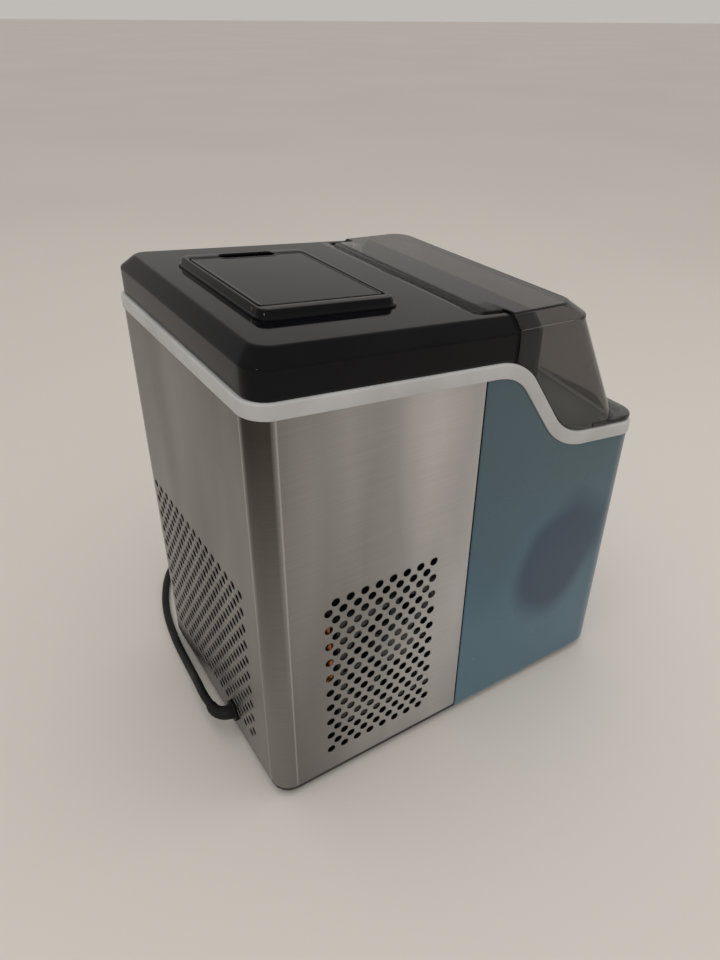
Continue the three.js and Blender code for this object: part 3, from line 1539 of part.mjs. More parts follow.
function buildCord() {
  const flange = join(
    bar([glandX, back + fit, glandZ], [glandX, bootStart, glandZ], glandFlange, smallSides),
    bar([glandX, back - 2 * sheet, glandZ], [glandX, back + 2 * fit, glandZ], bootRadius, smallSides),
  );
  const bootPoints = Array.from({ length: bendSteps + 1 }, (_, i) =>
    bootPoint((bootAngle * i) / bendSteps),
  );
  bootPoints.unshift([glandX, bootStart - sink, glandZ]);
  bootPoints.push(bootTip(cordRadius));
  const boot = tubeAlong(
    bootPoints,
    (share) => bootRadius + (bootEndRadius - bootRadius) * share,
    smallSides,
  );
  piece("cord_gland", join(flange, boot), 0x161616, 0.7, 0);

  const leadPoints = [
    bootTip(cordRadius + fit),
    bootTip(cordDiameter + fit),
    ...cordRoute,
    [coilX + coilOuter, coilY + cordDiameter + fit, coilLift],
  ];
  piece("cord_lead", tube(leadPoints, cordRadius, cordSides, leadSteps), 0x141414, 0.6, 0);

  const loops = Array.from({ length: coilTurns * coilSteps + 1 }, (_, i) =>
    coilPoint((2 * Math.PI * i) / coilSteps - coilTravel),
  );
  loops.unshift([coilX + coilOuter, coilY + cordDiameter, coilLift]);
  loops.push([coilX + coilOuter, coilY - cordDiameter, coilLift + coilPitch]);
  console.log("coil: least gap to itself", leastGap(loops, cordDiameter).toFixed(2), "mm");
  piece("cord_coil", tubeAlong(loops, () => cordRadius, coilSides), 0x141414, 0.6, 0);

  const tailPoints = [
    [coilX + coilOuter, coilY - cordDiameter - fit, coilLift + coilPitch],
    ...tailRoute,
    [plugX, plugY + fit, plugHeight / 2],
  ];
  piece("cord_tail", tube(tailPoints, cordRadius, cordSides, tailSteps), 0x141414, 0.6, 0);

  const room = cordRadius + fit;
  const bundleLeft = coilX - coilOuter + coilPitch / 2 - room;
  const bundleRight = coilX - coilInner + room;
  const bundleTop = coilLift + coilPitch + room;
  const bundle = [
    [bundleLeft, tieThickness],
    [bundleRight, tieThickness],
    [bundleRight, bundleTop],
    [bundleLeft, bundleTop],
  ];
  const tieOutline = [
    [bundleLeft - tieThickness, 0],
    [bundleRight + tieThickness, 0],
    [bundleRight + tieThickness, bundleTop + tieThickness],
    [bundleLeft - tieThickness, bundleTop + tieThickness],
  ];
  const tie = cut(
    through(tieOutline, coilY - tieWidth / 2, coilY + tieWidth / 2),
    through(bundle, coilY - tieWidth, coilY + tieWidth),
  );
  piece("cord_tie", tie, 0x1a1a1a, 0.8, 0);

  const neck = cordRadius + 2 * tieThickness;
  const shoulder = plugLength / 3;
  const topView = [
    [plugX - neck, plugY],
    [plugX - plugWidth / 2, plugY - shoulder],
    [plugX - plugWidth / 2, plugY - plugLength],
    [plugX + plugWidth / 2, plugY - plugLength],
    [plugX + plugWidth / 2, plugY - shoulder],
    [plugX + neck, plugY],
  ];
  const sideView = [
    [plugY, plugHeight / 2 - neck],
    [plugY - shoulder, 0],
    [plugY - plugLength, 0],
    [plugY - plugLength, plugHeight],
    [plugY - shoulder, plugHeight],
    [plugY, plugHeight / 2 + neck],
  ];
  const body = meet(upright(topView, 0, plugHeight), across(sideView, plugX - plugWidth, plugX + plugWidth));
  const face = plugY - plugLength;
  const bladeZ = plugHeight * bladeHeightShare;
  const blades = [-1, 1].map((way) => {
    const x = plugX + (way * bladeGap) / 2;
    return box(
      [x - plugBladeThickness / 2, face - bladeLength, bladeZ - bladeWidth / 2],
      [x + plugBladeThickness / 2, face + sink, bladeZ + bladeWidth / 2],
    );
  });
  const groundZ = bladeZ - groundDrop;
  const ground = bar([plugX, face + sink, groundZ], [plugX, face - bladeLength, groundZ], groundRadius);
  piece("plug", join(body, ground, ...blades), 0x151515, 0.5, 0);
}

buildBase();
buildWalls();
buildCover();
buildHood();
buildInnerWall();
buildTub();
buildBasket();
buildTank();
buildCooling();
buildPipes();
buildControls();
buildDrain();
buildCord();

export default iceMaker;
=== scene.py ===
import json
import math

import bpy
import numpy as np
from mathutils import Matrix, Vector


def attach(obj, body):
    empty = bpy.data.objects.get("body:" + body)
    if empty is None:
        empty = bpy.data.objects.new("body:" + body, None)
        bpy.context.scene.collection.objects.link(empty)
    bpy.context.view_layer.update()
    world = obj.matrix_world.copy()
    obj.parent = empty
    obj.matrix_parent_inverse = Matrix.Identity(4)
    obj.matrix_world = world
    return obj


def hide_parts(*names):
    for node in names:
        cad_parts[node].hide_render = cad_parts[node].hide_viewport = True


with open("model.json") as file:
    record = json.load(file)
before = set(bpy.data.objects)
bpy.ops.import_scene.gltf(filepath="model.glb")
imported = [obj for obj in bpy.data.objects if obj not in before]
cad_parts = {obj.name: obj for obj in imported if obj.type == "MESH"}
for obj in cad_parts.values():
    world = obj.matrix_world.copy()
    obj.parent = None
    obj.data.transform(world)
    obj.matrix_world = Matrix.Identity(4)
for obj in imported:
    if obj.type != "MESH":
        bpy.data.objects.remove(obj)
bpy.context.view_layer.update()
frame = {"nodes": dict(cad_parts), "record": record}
scene = bpy.context.scene
scene.view_settings.view_transform = "Standard"

MM = 0.001

# ---------------------------------------------------------------- shared sizes, in millimetres
HALF = 117.0  # half the body's width
BACK = 173.0  # half its depth
SHEET = 1.0
BACK_CORNER = 16.0
FRONT_CORNER = 22.0
SEAM = 0.8  # depth at which the blue sheet ends and the steel begins
FIT = 0.3  # room between the trim and what stands below and above it
TRIM_HEIGHT = 11.0
TRIM_FRONT = 248.5  # the trim's top edge at the front
STEP_BACK, STEP_TOP = -33.0, 333.0  # where the trim's straight back stretch begins
STEP_ROUND = 50  # radius of the trim's top edge at both ends of the step
FRONT_SLOPE = 0.125  # climb of the trim's front stretch
COVER_HALF = 116.3
COVER_RISE = 29.3
COVER_WALL = 2.5
CHAMFER = 9.5
CHEEK = 97.0  # from the middle to the inner side of the cover's cheeks
CORNER_TURNS = 9  # steps round the corners of the cover and the hood
FLAT_INSET = 14.0  # where the profiles of the cover and the hood meet their roofs
MOUTH_HALF, MOUTH_FRONT, MOUTH_BACK = 49.0, 52.5, 126.5
RIM = 6.0  # height of the hatch and its frame above the cover
# the body's wall from its right seam: a straight leg, an arc, the straight back, an arc and a leg
LEG = BACK - BACK_CORNER - SEAM
ARC = BACK_CORNER * math.pi / 2
BASE = 2 * (HALF - BACK_CORNER)


# ---------------------------------------------------------------- mesh helpers
def new_object(name, data):
    """An object with its data, linked into the scene."""
    made = bpy.data.objects.new(name, data)
    scene.collection.objects.link(made)
    return made


def piece(name, skin, slot, body="cabinet", stands_for=(), crease=32, uv=None, finish=None):
    """Puts points in millimetres and faces into one mesh, shades it smooth up to the crease angle in
    degrees, gives it its slot's finish or one of its own, and lets it ride on a body."""
    points, faces = skin
    mesh = bpy.data.meshes.new(name)
    mesh.from_pydata((np.asarray(points, float) * MM).tolist(), [], [tuple(map(int, f)) for f in faces])
    if uv is not None:
        layer = mesh.uv_layers.new(name="along_surface")
        corner = np.zeros(len(mesh.loops), np.int32)
        mesh.loops.foreach_get("vertex_index", corner)
        layer.data.foreach_set("uv", (uv[corner] * MM).ravel().astype(np.float32))
    mesh.materials.append(finish or FINISH[slot])
    mesh.polygons.foreach_set("use_smooth", np.ones(len(mesh.polygons), bool))
    mesh.update()
    mesh.set_sharp_from_angle(angle=math.radians(crease))
    made = new_object(name, mesh)
    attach(made, body)
    if stands_for:
        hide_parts(*stands_for)
    return made


def thickened(made, wall, welded=True):
    """Gives a sheet its wall on the inner side, after welding its patches, and keeps its flats flat."""
    if welded:
        weld = made.modifiers.new("weld", "WELD")
        weld.merge_threshold = 0.02 * MM
    wall_maker = made.modifiers.new("wall", "SOLIDIFY")
    wall_maker.thickness = wall * MM
    wall_maker.offset = -1.0
    wall_maker.use_even_offset = True
    flats = made.modifiers.new("flats_stay_flat", "WEIGHTED_NORMAL")
    flats.keep_sharp = True


def quarter(steps):
    """Angles of a quarter turn in equal steps."""
    return np.linspace(0, math.pi / 2, steps + 1)


def ways(angle):
    """Directions at those angles."""
    return np.stack([np.cos(angle), np.sin(angle)], -1)


def cross(a, b):
    """Cross product of two flat vectors."""
    return a[0] * b[1] - a[1] * b[0]


def grid_faces(rows, columns, closed=False, ring=False):
    """Quads between the points of a grid, row by row. closed joins the last column to the first, and
    ring the last row to the first."""
    low = np.arange(rows if ring else rows - 1)[:, None]
    near = np.arange(columns if closed else columns - 1)[None, :]
    low, high, far = low * columns, (low + 1) % rows * columns, (near + 1) % columns
    return np.stack(np.broadcast_arrays(low + near, low + far, high + far, high + near), -1).reshape(-1, 4)


def loft(rings, lids=True, closed=True):
    """Skin over rings of equal count, anticlockwise seen from above and lowest first, with a flat lid on
    each end. Returns points and faces."""
    rings = np.asarray(rings, float)
    count, around = rings.shape[:2]
    faces = grid_faces(count, around, closed).tolist()
    if lids:
        faces += [np.arange(around)[::-1].tolist(), ((count - 1) * around + np.arange(around)).tolist()]
    return rings.reshape(-1, 3), faces


def sheet(grid, left_out=(), flip=False):
    """Skin over a grid of points, without the blocks of faces in left_out, or turned over."""
    grid = np.asarray(grid, float)
    rows, columns = grid.shape[:2]
    keep = np.ones((rows - 1, columns - 1), bool)
    for block in left_out:
        keep[block] = False
    faces = grid_faces(rows, columns)[keep.ravel()]
    return grid.reshape(-1, 3), faces[:, ::-1] if flip else faces


def ring_loft(rings, closed=True):
    """Skin over rings whose last joins the first."""
    rings = np.asarray(rings, float)
    return rings.reshape(-1, 3), grid_faces(*rings.shape[:2], closed, True)


def put_together(*parts):
    """Several (points, faces) as one."""
    points, faces, base = [], [], 0
    for some_points, some_faces in parts:
        points.append(np.asarray(some_points, float).reshape(-1, 3))
        faces += [[int(i) + base for i in face] for face in some_faces]
        base += len(points[-1])
    return np.concatenate(points), faces


def rounded_plan(half, front, back, front_radius, back_radius=None, turn=8):
    """Anticlockwise outline of a rounded rectangle from half, front and back, starting at the front right
    corner: each corner is a quarter circle of its own radius with turn + 1 points."""
    back_radius = front_radius if back_radius is None else back_radius
    corners = (
        (half - front_radius, front + front_radius, front_radius, -math.pi / 2),
        (half - back_radius, back - back_radius, back_radius, 0.0),
        (back_radius - half, back - back_radius, back_radius, math.pi / 2),
        (front_radius - half, front + front_radius, front_radius, math.pi),
    )
    return np.concatenate([(x, y) + r * ways(a + quarter(turn)) for x, y, r, a in corners])


def at_height(outline, height):
    """Outline of x and y with a height, a number or one for each point."""
    return np.column_stack([outline, np.broadcast_to(height, len(outline))])


def lathe(profile, centre, axis, sides=48):
    """Profile of radius and height turned about the x or y axis through centre: each profile point makes a
    circle. Heights grow along the axis, and the profile runs from its lowest point to its highest."""
    radius, height = np.asarray(profile, float).T[:, :, None]
    angle = np.linspace(0, 2 * math.pi, sides, endpoint=False)
    flat = np.stack(np.broadcast_arrays(radius * np.cos(angle), radius * np.sin(angle), height), -1)
    return flat[..., {"x": [2, 0, 1], "y": [1, 2, 0]}[axis]] + np.asarray(centre, float)


def eased(rim, radius, bottom, top):
    """Profile of a disc's side at rim, with both edges rounded by radius."""
    turn = quarter(4)
    lower = np.stack([rim - radius + radius * np.sin(turn), bottom + radius - radius * np.cos(turn)], -1)
    upper = np.stack([rim - radius + radius * np.cos(turn), top - radius + radius * np.sin(turn)], -1)
    return np.concatenate([lower, upper])


def filleted(line, radii, steps):
    """Open line of points with each inner corner replaced by an arc of its radius: the arc's centre lies
    on the corner's bisector, radius / sin(half angle) away."""
    line = [np.asarray(p, float) for p in line]
    points = [line[0][None]]
    for (a, b, c), radius in zip(zip(line, line[1:], line[2:]), radii):
        to_a, to_c = (a - b) / np.linalg.norm(a - b), (c - b) / np.linalg.norm(c - b)
        half = math.acos(float(np.clip(to_a @ to_c, -1, 1))) / 2
        centre = b + (to_a + to_c) / np.linalg.norm(to_a + to_c) * radius / math.sin(half)
        start = b + to_a * radius / math.tan(half) - centre
        end = b + to_c * radius / math.tan(half) - centre
        turn = np.linspace(0, math.atan2(cross(start, end), start @ end), steps + 1)
        cos, sin = np.cos(turn), np.sin(turn)
        points.append(centre + np.stack([start[0] * cos - start[1] * sin, start[0] * sin + start[1] * cos], -1))
    points.append(line[-1][None])
    return np.concatenate(points)


def back_slope(y):
    """Height of the trim's straight back stretch, which climbs 19 in 206."""
    return STEP_TOP + (np.asarray(y, float) - STEP_BACK) * 19 / 206


def trim_line(y, drop=0.0):
    """Height of the trim band's edge at depth y, drop millimetres below its top edge and square to it:
    three straight stretches, moved down square to themselves and joined by arcs of 50 less or more drop."""
    line = np.array([[190.0, back_slope(190.0)], [STEP_BACK, STEP_TOP], [-85.0, 259.5], [-190.0, 246.375]])
    along = np.diff(line, axis=0)
    along /= np.linalg.norm(along, axis=1)[:, None]
    square = np.stack([-along[:, 1], along[:, 0]], -1)
    moved = line[:-1] + square * drop
    meets = [moved[0]]
    for i in range(2):
        gap = cross(moved[i + 1] - moved[i], along[i + 1])
        meets.append(moved[i] + along[i] * gap / cross(along[i], along[i + 1]))
    meets.append(line[-1] + square[-1] * drop)
    curve = filleted(meets, [STEP_ROUND - drop, STEP_ROUND + drop], 24)[::-1]
    return np.interp(y, curve[:, 0], curve[:, 1])


def cover_top(y):
    """The cover's roof above the trim's straight back stretch."""
    return back_slope(y) + COVER_RISE


def u_ring(half, start, end, radius, legs, turns, across):
    """Open U seen from above, anticlockwise: from (half, start) straight to end less radius, a quarter
    arc, straight across to the other side, a quarter arc and back. legs and across are shares from 0 to 1
    of the straight stretches, so that rings of any size join point by point."""
    turn = quarter(turns)[1:-1]
    middle = half - radius
    right = np.column_stack([np.full(len(legs), half), start + legs * (end - radius - start)])
    arc = np.column_stack([middle + radius * np.cos(turn), end - radius + radius * np.sin(turn)])
    straight = np.column_stack([middle * (1 - 2 * across), np.full(len(across), end)])
    return np.concatenate([right, arc, straight, arc[::-1] * (-1, 1), right[::-1] * (-1, 1)])


def body_wall(s):
    """Point and outward direction on the U-shaped wall, s millimetres from its right seam."""
    first, second = (np.clip((s - at) / BACK_CORNER, 0, math.pi / 2) for at in (LEG, LEG + ARC + BASE))
    out = ways(first + second)
    x = HALF - BACK_CORNER - np.clip(s - LEG - ARC, 0, BASE)
    y = np.where(s < LEG, SEAM + s, BACK - BACK_CORNER) - np.clip(s - LEG - 2 * ARC - BASE, 0, None)
    return np.stack([x, y], -1) + BACK_CORNER * out, out


def both_sides(shares):
    """Shares from the right side to the middle, and on to the left side."""
    return np.concatenate([shares, -shares[:-1][::-1]])


def roof_grid(ring, legs, shares):
    """Roof inside the last ring of a U: rows from side to side with a point at each share, and the U's
    straight end as the last row."""
    count = len(legs) + CORNER_TURNS - 1
    right, left = ring[:count, None], ring[::-1][:count, None]
    middle = (right + left) / 2
    rows = middle + (right - middle) * shares[:, None]
    return np.concatenate([rows, ring[count : count + len(shares)][None]])


# ---------------------------------------------------------------- materials
def srgb(hex_colour):
    """sRGB hex to linear RGBA."""
    parts = [int(hex_colour[i : i + 2], 16) / 255 for i in (1, 3, 5)]
    return (*[p / 12.92 if p <= 0.04045 else ((p + 0.055) / 1.055) ** 2.4 for p in parts], 1.0)


def add(tree, kind, sockets=(), **settings):
    """Adds a node with its settings; sockets maps a socket's name or number to a value or to an output."""
    made = tree.nodes.new("ShaderNode" + kind)
    for key, value in settings.items():
        setattr(made, key, value)
    for key, value in dict(sockets).items():
        set_socket(made.inputs[key], value)
    return made


def set_socket(socket, value):
    """Sets a socket, to a constant as it is and to an output by a link."""
    if isinstance(value, bpy.types.NodeSocket):
        socket.id_data.links.new(value, socket)
    else:
        socket.default_value = value


def finish_of(name):
    """A new material, its node tree, its surface shader and its Object coordinates."""
    made = bpy.data.materials.new(name)
    made.use_nodes = True
    tree = made.node_tree
    return made, tree, tree.nodes["Principled BSDF"], add(tree, "TexCoord").outputs["Object"]


def set_shader(shader, **values):
    """Sets the shader's sockets."""
    for key, value in values.items():
        set_socket(shader.inputs[key.replace("_", " ")], value)


def maths(tree, operation, *values, kind="Math", output=0):
    """Result of an operation on numbers and outputs."""
    return add(tree, kind, enumerate(values), operation=operation).outputs[output]


def mixed(tree, share, low, high, how="MIX"):
    """Colour from low towards high by share."""
    return add(tree, "Mix", {0: share, 6: low, 7: high}, data_type="RGBA", blend_type=how).outputs[2]


def scaled(tree, vector, scale):
    """Coordinates stretched along each axis."""
    return add(tree, "Mapping", {"Vector": vector, "Scale": scale}).outputs["Vector"]


def noise(tree, vector, size_mm, detail=3.0, roughness=0.5):
    """Noise whose main blobs are size_mm across in Object coordinates."""
    sockets = {"Vector": vector, "Scale": 1000.0 / size_mm, "Detail": detail, "Roughness": roughness}
    return add(tree, "TexNoise", sockets).outputs["Fac"]


def ramp(tree, value, low, high, start=0.35, end=0.65, more=()):
    """Colour from low to high as value goes from start to end, through more colours on the way."""
    made = add(tree, "ValToRGB", {"Fac": value})
    stops = made.color_ramp.elements
    stops[0].position, stops[0].color = start, srgb(low)
    stops[1].position, stops[1].color = end, srgb(high)
    for spot, colour in more:
        stops.new(spot).color = srgb(colour)
    return made.outputs["Color"]


def between(tree, value, low, high, start=0.3, end=0.7):
    """Number from low to high as value goes from start to end."""
    sockets = {"Value": value, "From Min": start, "From Max": end, "To Min": low, "To Max": high}
    return add(tree, "MapRange", sockets).outputs["Result"]


def bump(tree, height, depth_mm, strength=1.0):
    """Bump whose full height is depth_mm."""
    sockets = {"Height": height, "Distance": depth_mm * MM, "Strength": strength}
    return add(tree, "Bump", sockets).outputs["Normal"]


def skinned(name, low, high, blotch_mm, rub, grain, **more):
    """Finish of one stuff: two near colours in soft blotches, a gloss that rubbing has dulled in places,
    and a grain that stands out of its skin. rub is its size and what between takes, grain its size, detail,
    depth and strength."""
    made, tree, shader, place = finish_of(name)
    set_shader(
        shader,
        Base_Color=ramp(tree, noise(tree, place, blotch_mm), low, high),
        Roughness=between(tree, noise(tree, place, rub[0]), *rub[1:]),
        Normal=bump(tree, noise(tree, place, *grain[:2]), *grain[2:]),
        **more,
    )
    return made


def moulded(name, low, high, rough, grain_mm, grain_depth, blotch_mm=40.0, **more):
    """Plain solid finish, dull or glossy by rough, whose fine grain stands grain_depth millimetres deep."""
    rub = (blotch_mm / 3, rough * 0.85, min(rough * 1.15, 1.0))
    return skinned(name, low, high, blotch_mm, rub, (grain_mm, 2.0, grain_depth), **more)


def brushed_stainless():
    """Brushed stainless steel sheet: fine level scratches draw every reflection upright. Round its two back
    corners, where the sheet is bent, a darker reflection is painted into its colour between two painted pale
    highlight lines at the folds, and the flats carry soft grey clouds. Its UVs run along the wall and up it, in
    metres."""
    made, tree, shader, place = finish_of("brushed_stainless")
    along = add(tree, "UVMap", uv_map="along_surface").outputs["UV"]
    # scratches 60 mm long and 0.8 mm apart, drawn coarser than the real 0.1 mm so that they show
    scratch = noise(tree, scaled(tree, along, (16.0, 1200.0, 1.0)), 1000.0)
    cloud = noise(tree, scaled(tree, place, (17.0, 17.0, 4.0)), 1000.0, 2.0, 0.4)
    tone = ramp(tree, cloud, "#b6b5b4", "#d0cfce", 0.36, 0.64)
    tone = mixed(tree, 0.8, tone, ramp(tree, scratch, "#ececec", "#ffffff", 0.3, 0.7), "MULTIPLY")
    spread = add(tree, "SeparateXYZ", {"Vector": along}).outputs
    # painted reflection: the wall's colour is darkened beside the bend, where the left wall reflects the darker
    # room, and left pale beside the seam, where it reflects the paler one
    painted_reflection_share = between(tree, spread["X"], 0.0, 1.0, 0.41, 0.53)
    tone = mixed(tree, 1.0, tone, ramp(tree, painted_reflection_share, "#bab8b6", "#ffffff", 0.0, 1.0), "MULTIPLY")
    # painted reflection: round each back bend a darker band that grows in going up, with a painted pale
    # highlight line along each fold
    up_the_bend = between(tree, spread["Y"], 0.0, 1.0, 0.08, 0.33)
    for middle in (0.16877, 0.3959):
        offset = maths(tree, "ABSOLUTE", maths(tree, "SUBTRACT", spread["X"], middle))
        inside = maths(tree, "MULTIPLY", between(tree, offset, 1.0, 0.0, 0.0085, 0.0112), up_the_bend)
        tone = mixed(tree, inside, tone, srgb("#8a8580"), "MULTIPLY")
        from_fold = maths(tree, "ABSOLUTE", maths(tree, "SUBTRACT", offset, 0.0124))
        tone = mixed(tree, between(tree, from_fold, 0.35, 0.0, 0.0002, 0.0009), tone, srgb("#e4e2df"))
    set_shader(
        shader,
        Base_Color=tone,
        Metallic=1.0,
        Roughness=between(tree, scratch, 0.3, 0.4),
        Anisotropic=0.5,
        Tangent=add(tree, "Tangent", direction_type="UV_MAP", uv_map="along_surface").outputs["Tangent"],
        Normal=bump(tree, scratch, 0.004, 0.5),
    )
    return made


def filmed_blue():
    """Blue coated sheet under its thin protective film: satin, paler where the film lifts and darker where
    it clings in one wide patch, with a few small white bubbles near the seam."""
    made, tree, shader, place = finish_of("blue_sheet_under_film")
    part = add(tree, "SeparateXYZ", {"Vector": place}).outputs
    rise = maths(tree, "MULTIPLY_ADD", noise(tree, place, 120.0, 1.0), 0.12, part["Z"])
    # pale teal at the foot, deeper across the middle, greyer under the step
    levels = between(tree, rise, 0.0, 1.0, 0.05, 0.38)
    on_the_way = ((0.28, "#456879"), (0.52, "#375a6c"), (0.72, "#395560"))
    colour = ramp(tree, levels, "#4a6c7d", "#3b535d", 0.0, 1.0, on_the_way)
    # one wide patch on the left wall where the film clings, with a wavy outline
    patch_middle, patch_reach = (-0.117, -0.108, 0.128), (1 / 0.1, 1 / 0.064, 1 / 0.088)
    offset = maths(tree, "SUBTRACT", place, patch_middle, kind="VectorMath")
    offset = maths(tree, "MULTIPLY", offset, patch_reach, kind="VectorMath")
    away = maths(tree, "LENGTH", offset, kind="VectorMath", output="Value")
    away = maths(tree, "MULTIPLY_ADD", noise(tree, place, 75.0, 0.5), 1.2, away)
    colour = mixed(tree, between(tree, away, 0.82, 0.0, 1.3, 1.58), colour, srgb("#0a2d4a"))
    bubbles = add(tree, "TexVoronoi", {"Vector": place, "Scale": 120.0}, feature="F1").outputs["Distance"]
    speck = between(tree, bubbles, 1.0, 0.0, 0.05, 0.12)
    few = between(tree, noise(tree, place, 16.0, 1.0), 0.0, 1.0, 0.62, 0.68)
    near_seam = between(tree, part["Y"], 0.0, 0.8, -0.03, -0.004)
    speck = maths(tree, "MULTIPLY", maths(tree, "MULTIPLY", speck, few), near_seam)
    colour = mixed(tree, speck, colour, srgb("#b9c8d0"))
    # painted highlight: the folded foot is painted paler, where it catches the light
    colour = mixed(tree, between(tree, part["Z"], 0.8, 0.0, 0.0078, 0.0092), colour, srgb("#86a7ba"))
    set_shader(
        shader,
        Base_Color=colour,
        Metallic=0.3,
        Roughness=between(tree, noise(tree, place, 50.0), 0.26, 0.38),
        Normal=bump(tree, noise(tree, place, 26.0, 1.5), 0.15, 0.5),
        Coat_Weight=0.4,
        Coat_Roughness=0.15,
    )
    return made


def smoked_clear():
    """Smoke-grey clear polycarbonate: the tint is in the plastic's depth, so its edges and the rolled
    hinge look darker than its flats, and its skin is glossy with a faint haze of rubbing."""
    made = skinned(
        "smoked_polycarbonate", "#f4f2f0", "#fbfaf8", 90.0, (30.0, 0.015, 0.05), (60.0, 0.0, 0.04, 0.2),
        Transmission_Weight=1.0, IOR=1.4,
    )
    tree = made.node_tree
    # lamps shine through the hood, which refraction alone would block
    from_lamp = add(tree, "LightPath").outputs["Is Shadow Ray"]
    open_to_light = add(tree, "BsdfTransparent").outputs["BSDF"]
    plastic = tree.nodes["Principled BSDF"].outputs["BSDF"]
    skin = add(tree, "MixShader", {0: from_lamp, 1: plastic, 2: open_to_light})
    tint = add(tree, "VolumeAbsorption", {"Color": srgb("#48433f"), "Density": 320.0})
    output = tree.nodes["Material Output"].inputs
    set_socket(output["Surface"], skin.outputs["Shader"])
    set_socket(output["Volume"], tint.outputs["Volume"])
    return made


# what each slot is made of: moulded takes a name, two colours, roughness, and the grain's width and depth
FINISH = {
    "steel_wrap": brushed_stainless(),
    "blue_shell": filmed_blue(),
    "smoked_hood": smoked_clear(),
    # deep black that mirrors the room softly, with faint wide scuffs
    "cover_black": skinned(
        "gloss_black_abs", "#040407", "#08080c", 60.0, (26.0, 0.05, 0.11, 0.35, 0.7), (55.0, 0.0, 0.05, 0.25),
        IOR=1.25,
    ),
    # milky, and lets soft light through; its colour is darkened below a milky plastic's, painted shade for the
    # dark inside the body
    "tank_clear": skinned(
        "milky_polypropylene", "#7e888c", "#929b9f", 50.0, (12.0, 0.25, 0.4), (3.0, 3.0, 0.02),
        Transmission_Weight=0.5, IOR=1.49,
    ),
    # satin ABS band, lightly grained by its mould
    "trim_white": moulded("satin_grey_abs", "#a9a9a8", "#b5b5b4", 0.38, 1.2, 0.01, Specular_IOR_Level=0.45),
    "seal_rubber": moulded("soft_seal_rubber", "#161616", "#212121", 0.7, 0.8, 0.02),
    "foot_rubber": moulded("grip_rubber", "#17171a", "#242426", 0.75, 0.7, 0.03),
    "dark_pan": moulded("black_enamelled_steel", "#1c1c1e", "#29292b", 0.45, 1.6, 0.015),
    "pin_steel": moulded("bright_steel", "#a8a8a5", "#bcbcb9", 0.25, 0.9, 0.008, Metallic=1.0),
    "inner_plastic": moulded("satin_black_abs", "#2b2b2d", "#373739", 0.42, 1.1, 0.015),
    "chute_plastic": moulded("food_grade_white_abs", "#cfd1d1", "#dcdedd", 0.35, 1.3, 0.01),
    # painted light: the tub's grey is raised to stand in for the light that the smoked hood keeps from it
    "tub_grey": moulded("moulded_grey_abs", "#c2c4c5", "#d0d2d3", 0.4, 1.2, 0.015),
    "foam_white": moulded("moulded_polystyrene_foam", "#dcdbd6", "#eceae5", 0.9, 3.2, 0.25, blotch_mm=12),
    "basket_grey": moulded(
        "basket_polypropylene", "#9a9d9f", "#aaadaf", 0.35, 1.2, 0.012, Subsurface_Weight=0.05
    ),
    "compressor_black": moulded("black_baked_enamel", "#101012", "#1c1c1e", 0.35, 2.4, 0.03),
    "fan_black": moulded("fan_black_pbt", "#1b1b1c", "#262627", 0.5, 1.0, 0.02),
    # painted shade: darker than the fan's own grey, for the dark inside the body
    "fan_grey": moulded("fan_grey_pbt", "#4c4e50", "#58595b", 0.45, 1.0, 0.02),
    # dark partly as a lacquer and partly as painted shade for the dark inside the body
    "fin_aluminium": moulded("dark_lacquered_aluminium", "#3e3f40", "#4b4c4d", 0.42, 1.5, 0.02, Metallic=1.0),
    "jacket_foam": moulded("closed_cell_foam", "#1d1d1d", "#2a2a2a", 0.9, 1.6, 0.12),
    "motor_grey": moulded("motor_grey_nylon", "#3a3c3f", "#484a4d", 0.5, 1.1, 0.02),
    "copper": moulded("drawn_copper", "#a8643d", "#c07d52", 0.3, 2.0, 0.01, Metallic=1.0, blotch_mm=18),
    "hose_clear": moulded("milky_silicone", "#c3cacc", "#d3d9da", 0.4, 1.5, 0.02, Subsurface_Weight=0.1),
    "board_green": moulded("coated_circuit_board", "#1c4a2c", "#28593a", 0.4, 1.5, 0.02),
    "panel_black": moulded("panel_gloss_black", "#0d0d10", "#151518", 0.12, 6.0, 0.004),
    "lens_pale": moulded("diffuse_lens", "#cfdfe2", "#dfe9ea", 0.3, 1.0, 0.01, Subsurface_Weight=0.2),
    "button_grey": moulded("button_satin_grey", "#3a3a3c", "#464648", 0.4, 0.8, 0.012),
    "cord_black": moulded("black_pvc_jacket", "#080809", "#101011", 0.5, 1.2, 0.02, blotch_mm=24, IOR=1.36),
    "tie_black": moulded("woven_strap", "#161617", "#262627", 0.85, 0.9, 0.12, blotch_mm=5),
    "plug_black": moulded("moulded_black_pvc", "#141415", "#1f1f20", 0.48, 1.0, 0.025),
}
nickel = moulded("nickel_plated_brass", "#b0aa9b", "#c3bdae", 0.22, 0.9, 0.006, Metallic=1.0)

for part in frame["record"]["subparts"]:
    for held in frame["nodes"][part["node"]].material_slots:
        held.material = FINISH[part["material_slot"]]

# ---------------------------------------------------------------- camera
# solved from the straight edges of the body in the photograph, 960 pixels high
FOCAL_PIXELS, HEIGHT_PIXELS, SENSOR = 754.83, 960, 36.0
camera = new_object("camera", bpy.data.cameras.new("camera"))
right, down, ahead = (
    Vector((-0.534118, -0.845394, 0.005219)),
    Vector((-0.457984, 0.284154, -0.842322)),
    Vector((0.710611, -0.452290, -0.538949)),
)
camera.matrix_world = Matrix.Translation((-0.45902, 0.31825, 0.54026)) @ Matrix(
    [[right[i], -down[i], -ahead[i]] for i in range(3)]
).to_4x4()
camera.data.sensor_width = SENSOR
camera.data.lens = FOCAL_PIXELS / HEIGHT_PIXELS * SENSOR
camera.data.clip_start = 0.02
camera.data.clip_end = 20.0
scene.camera = camera


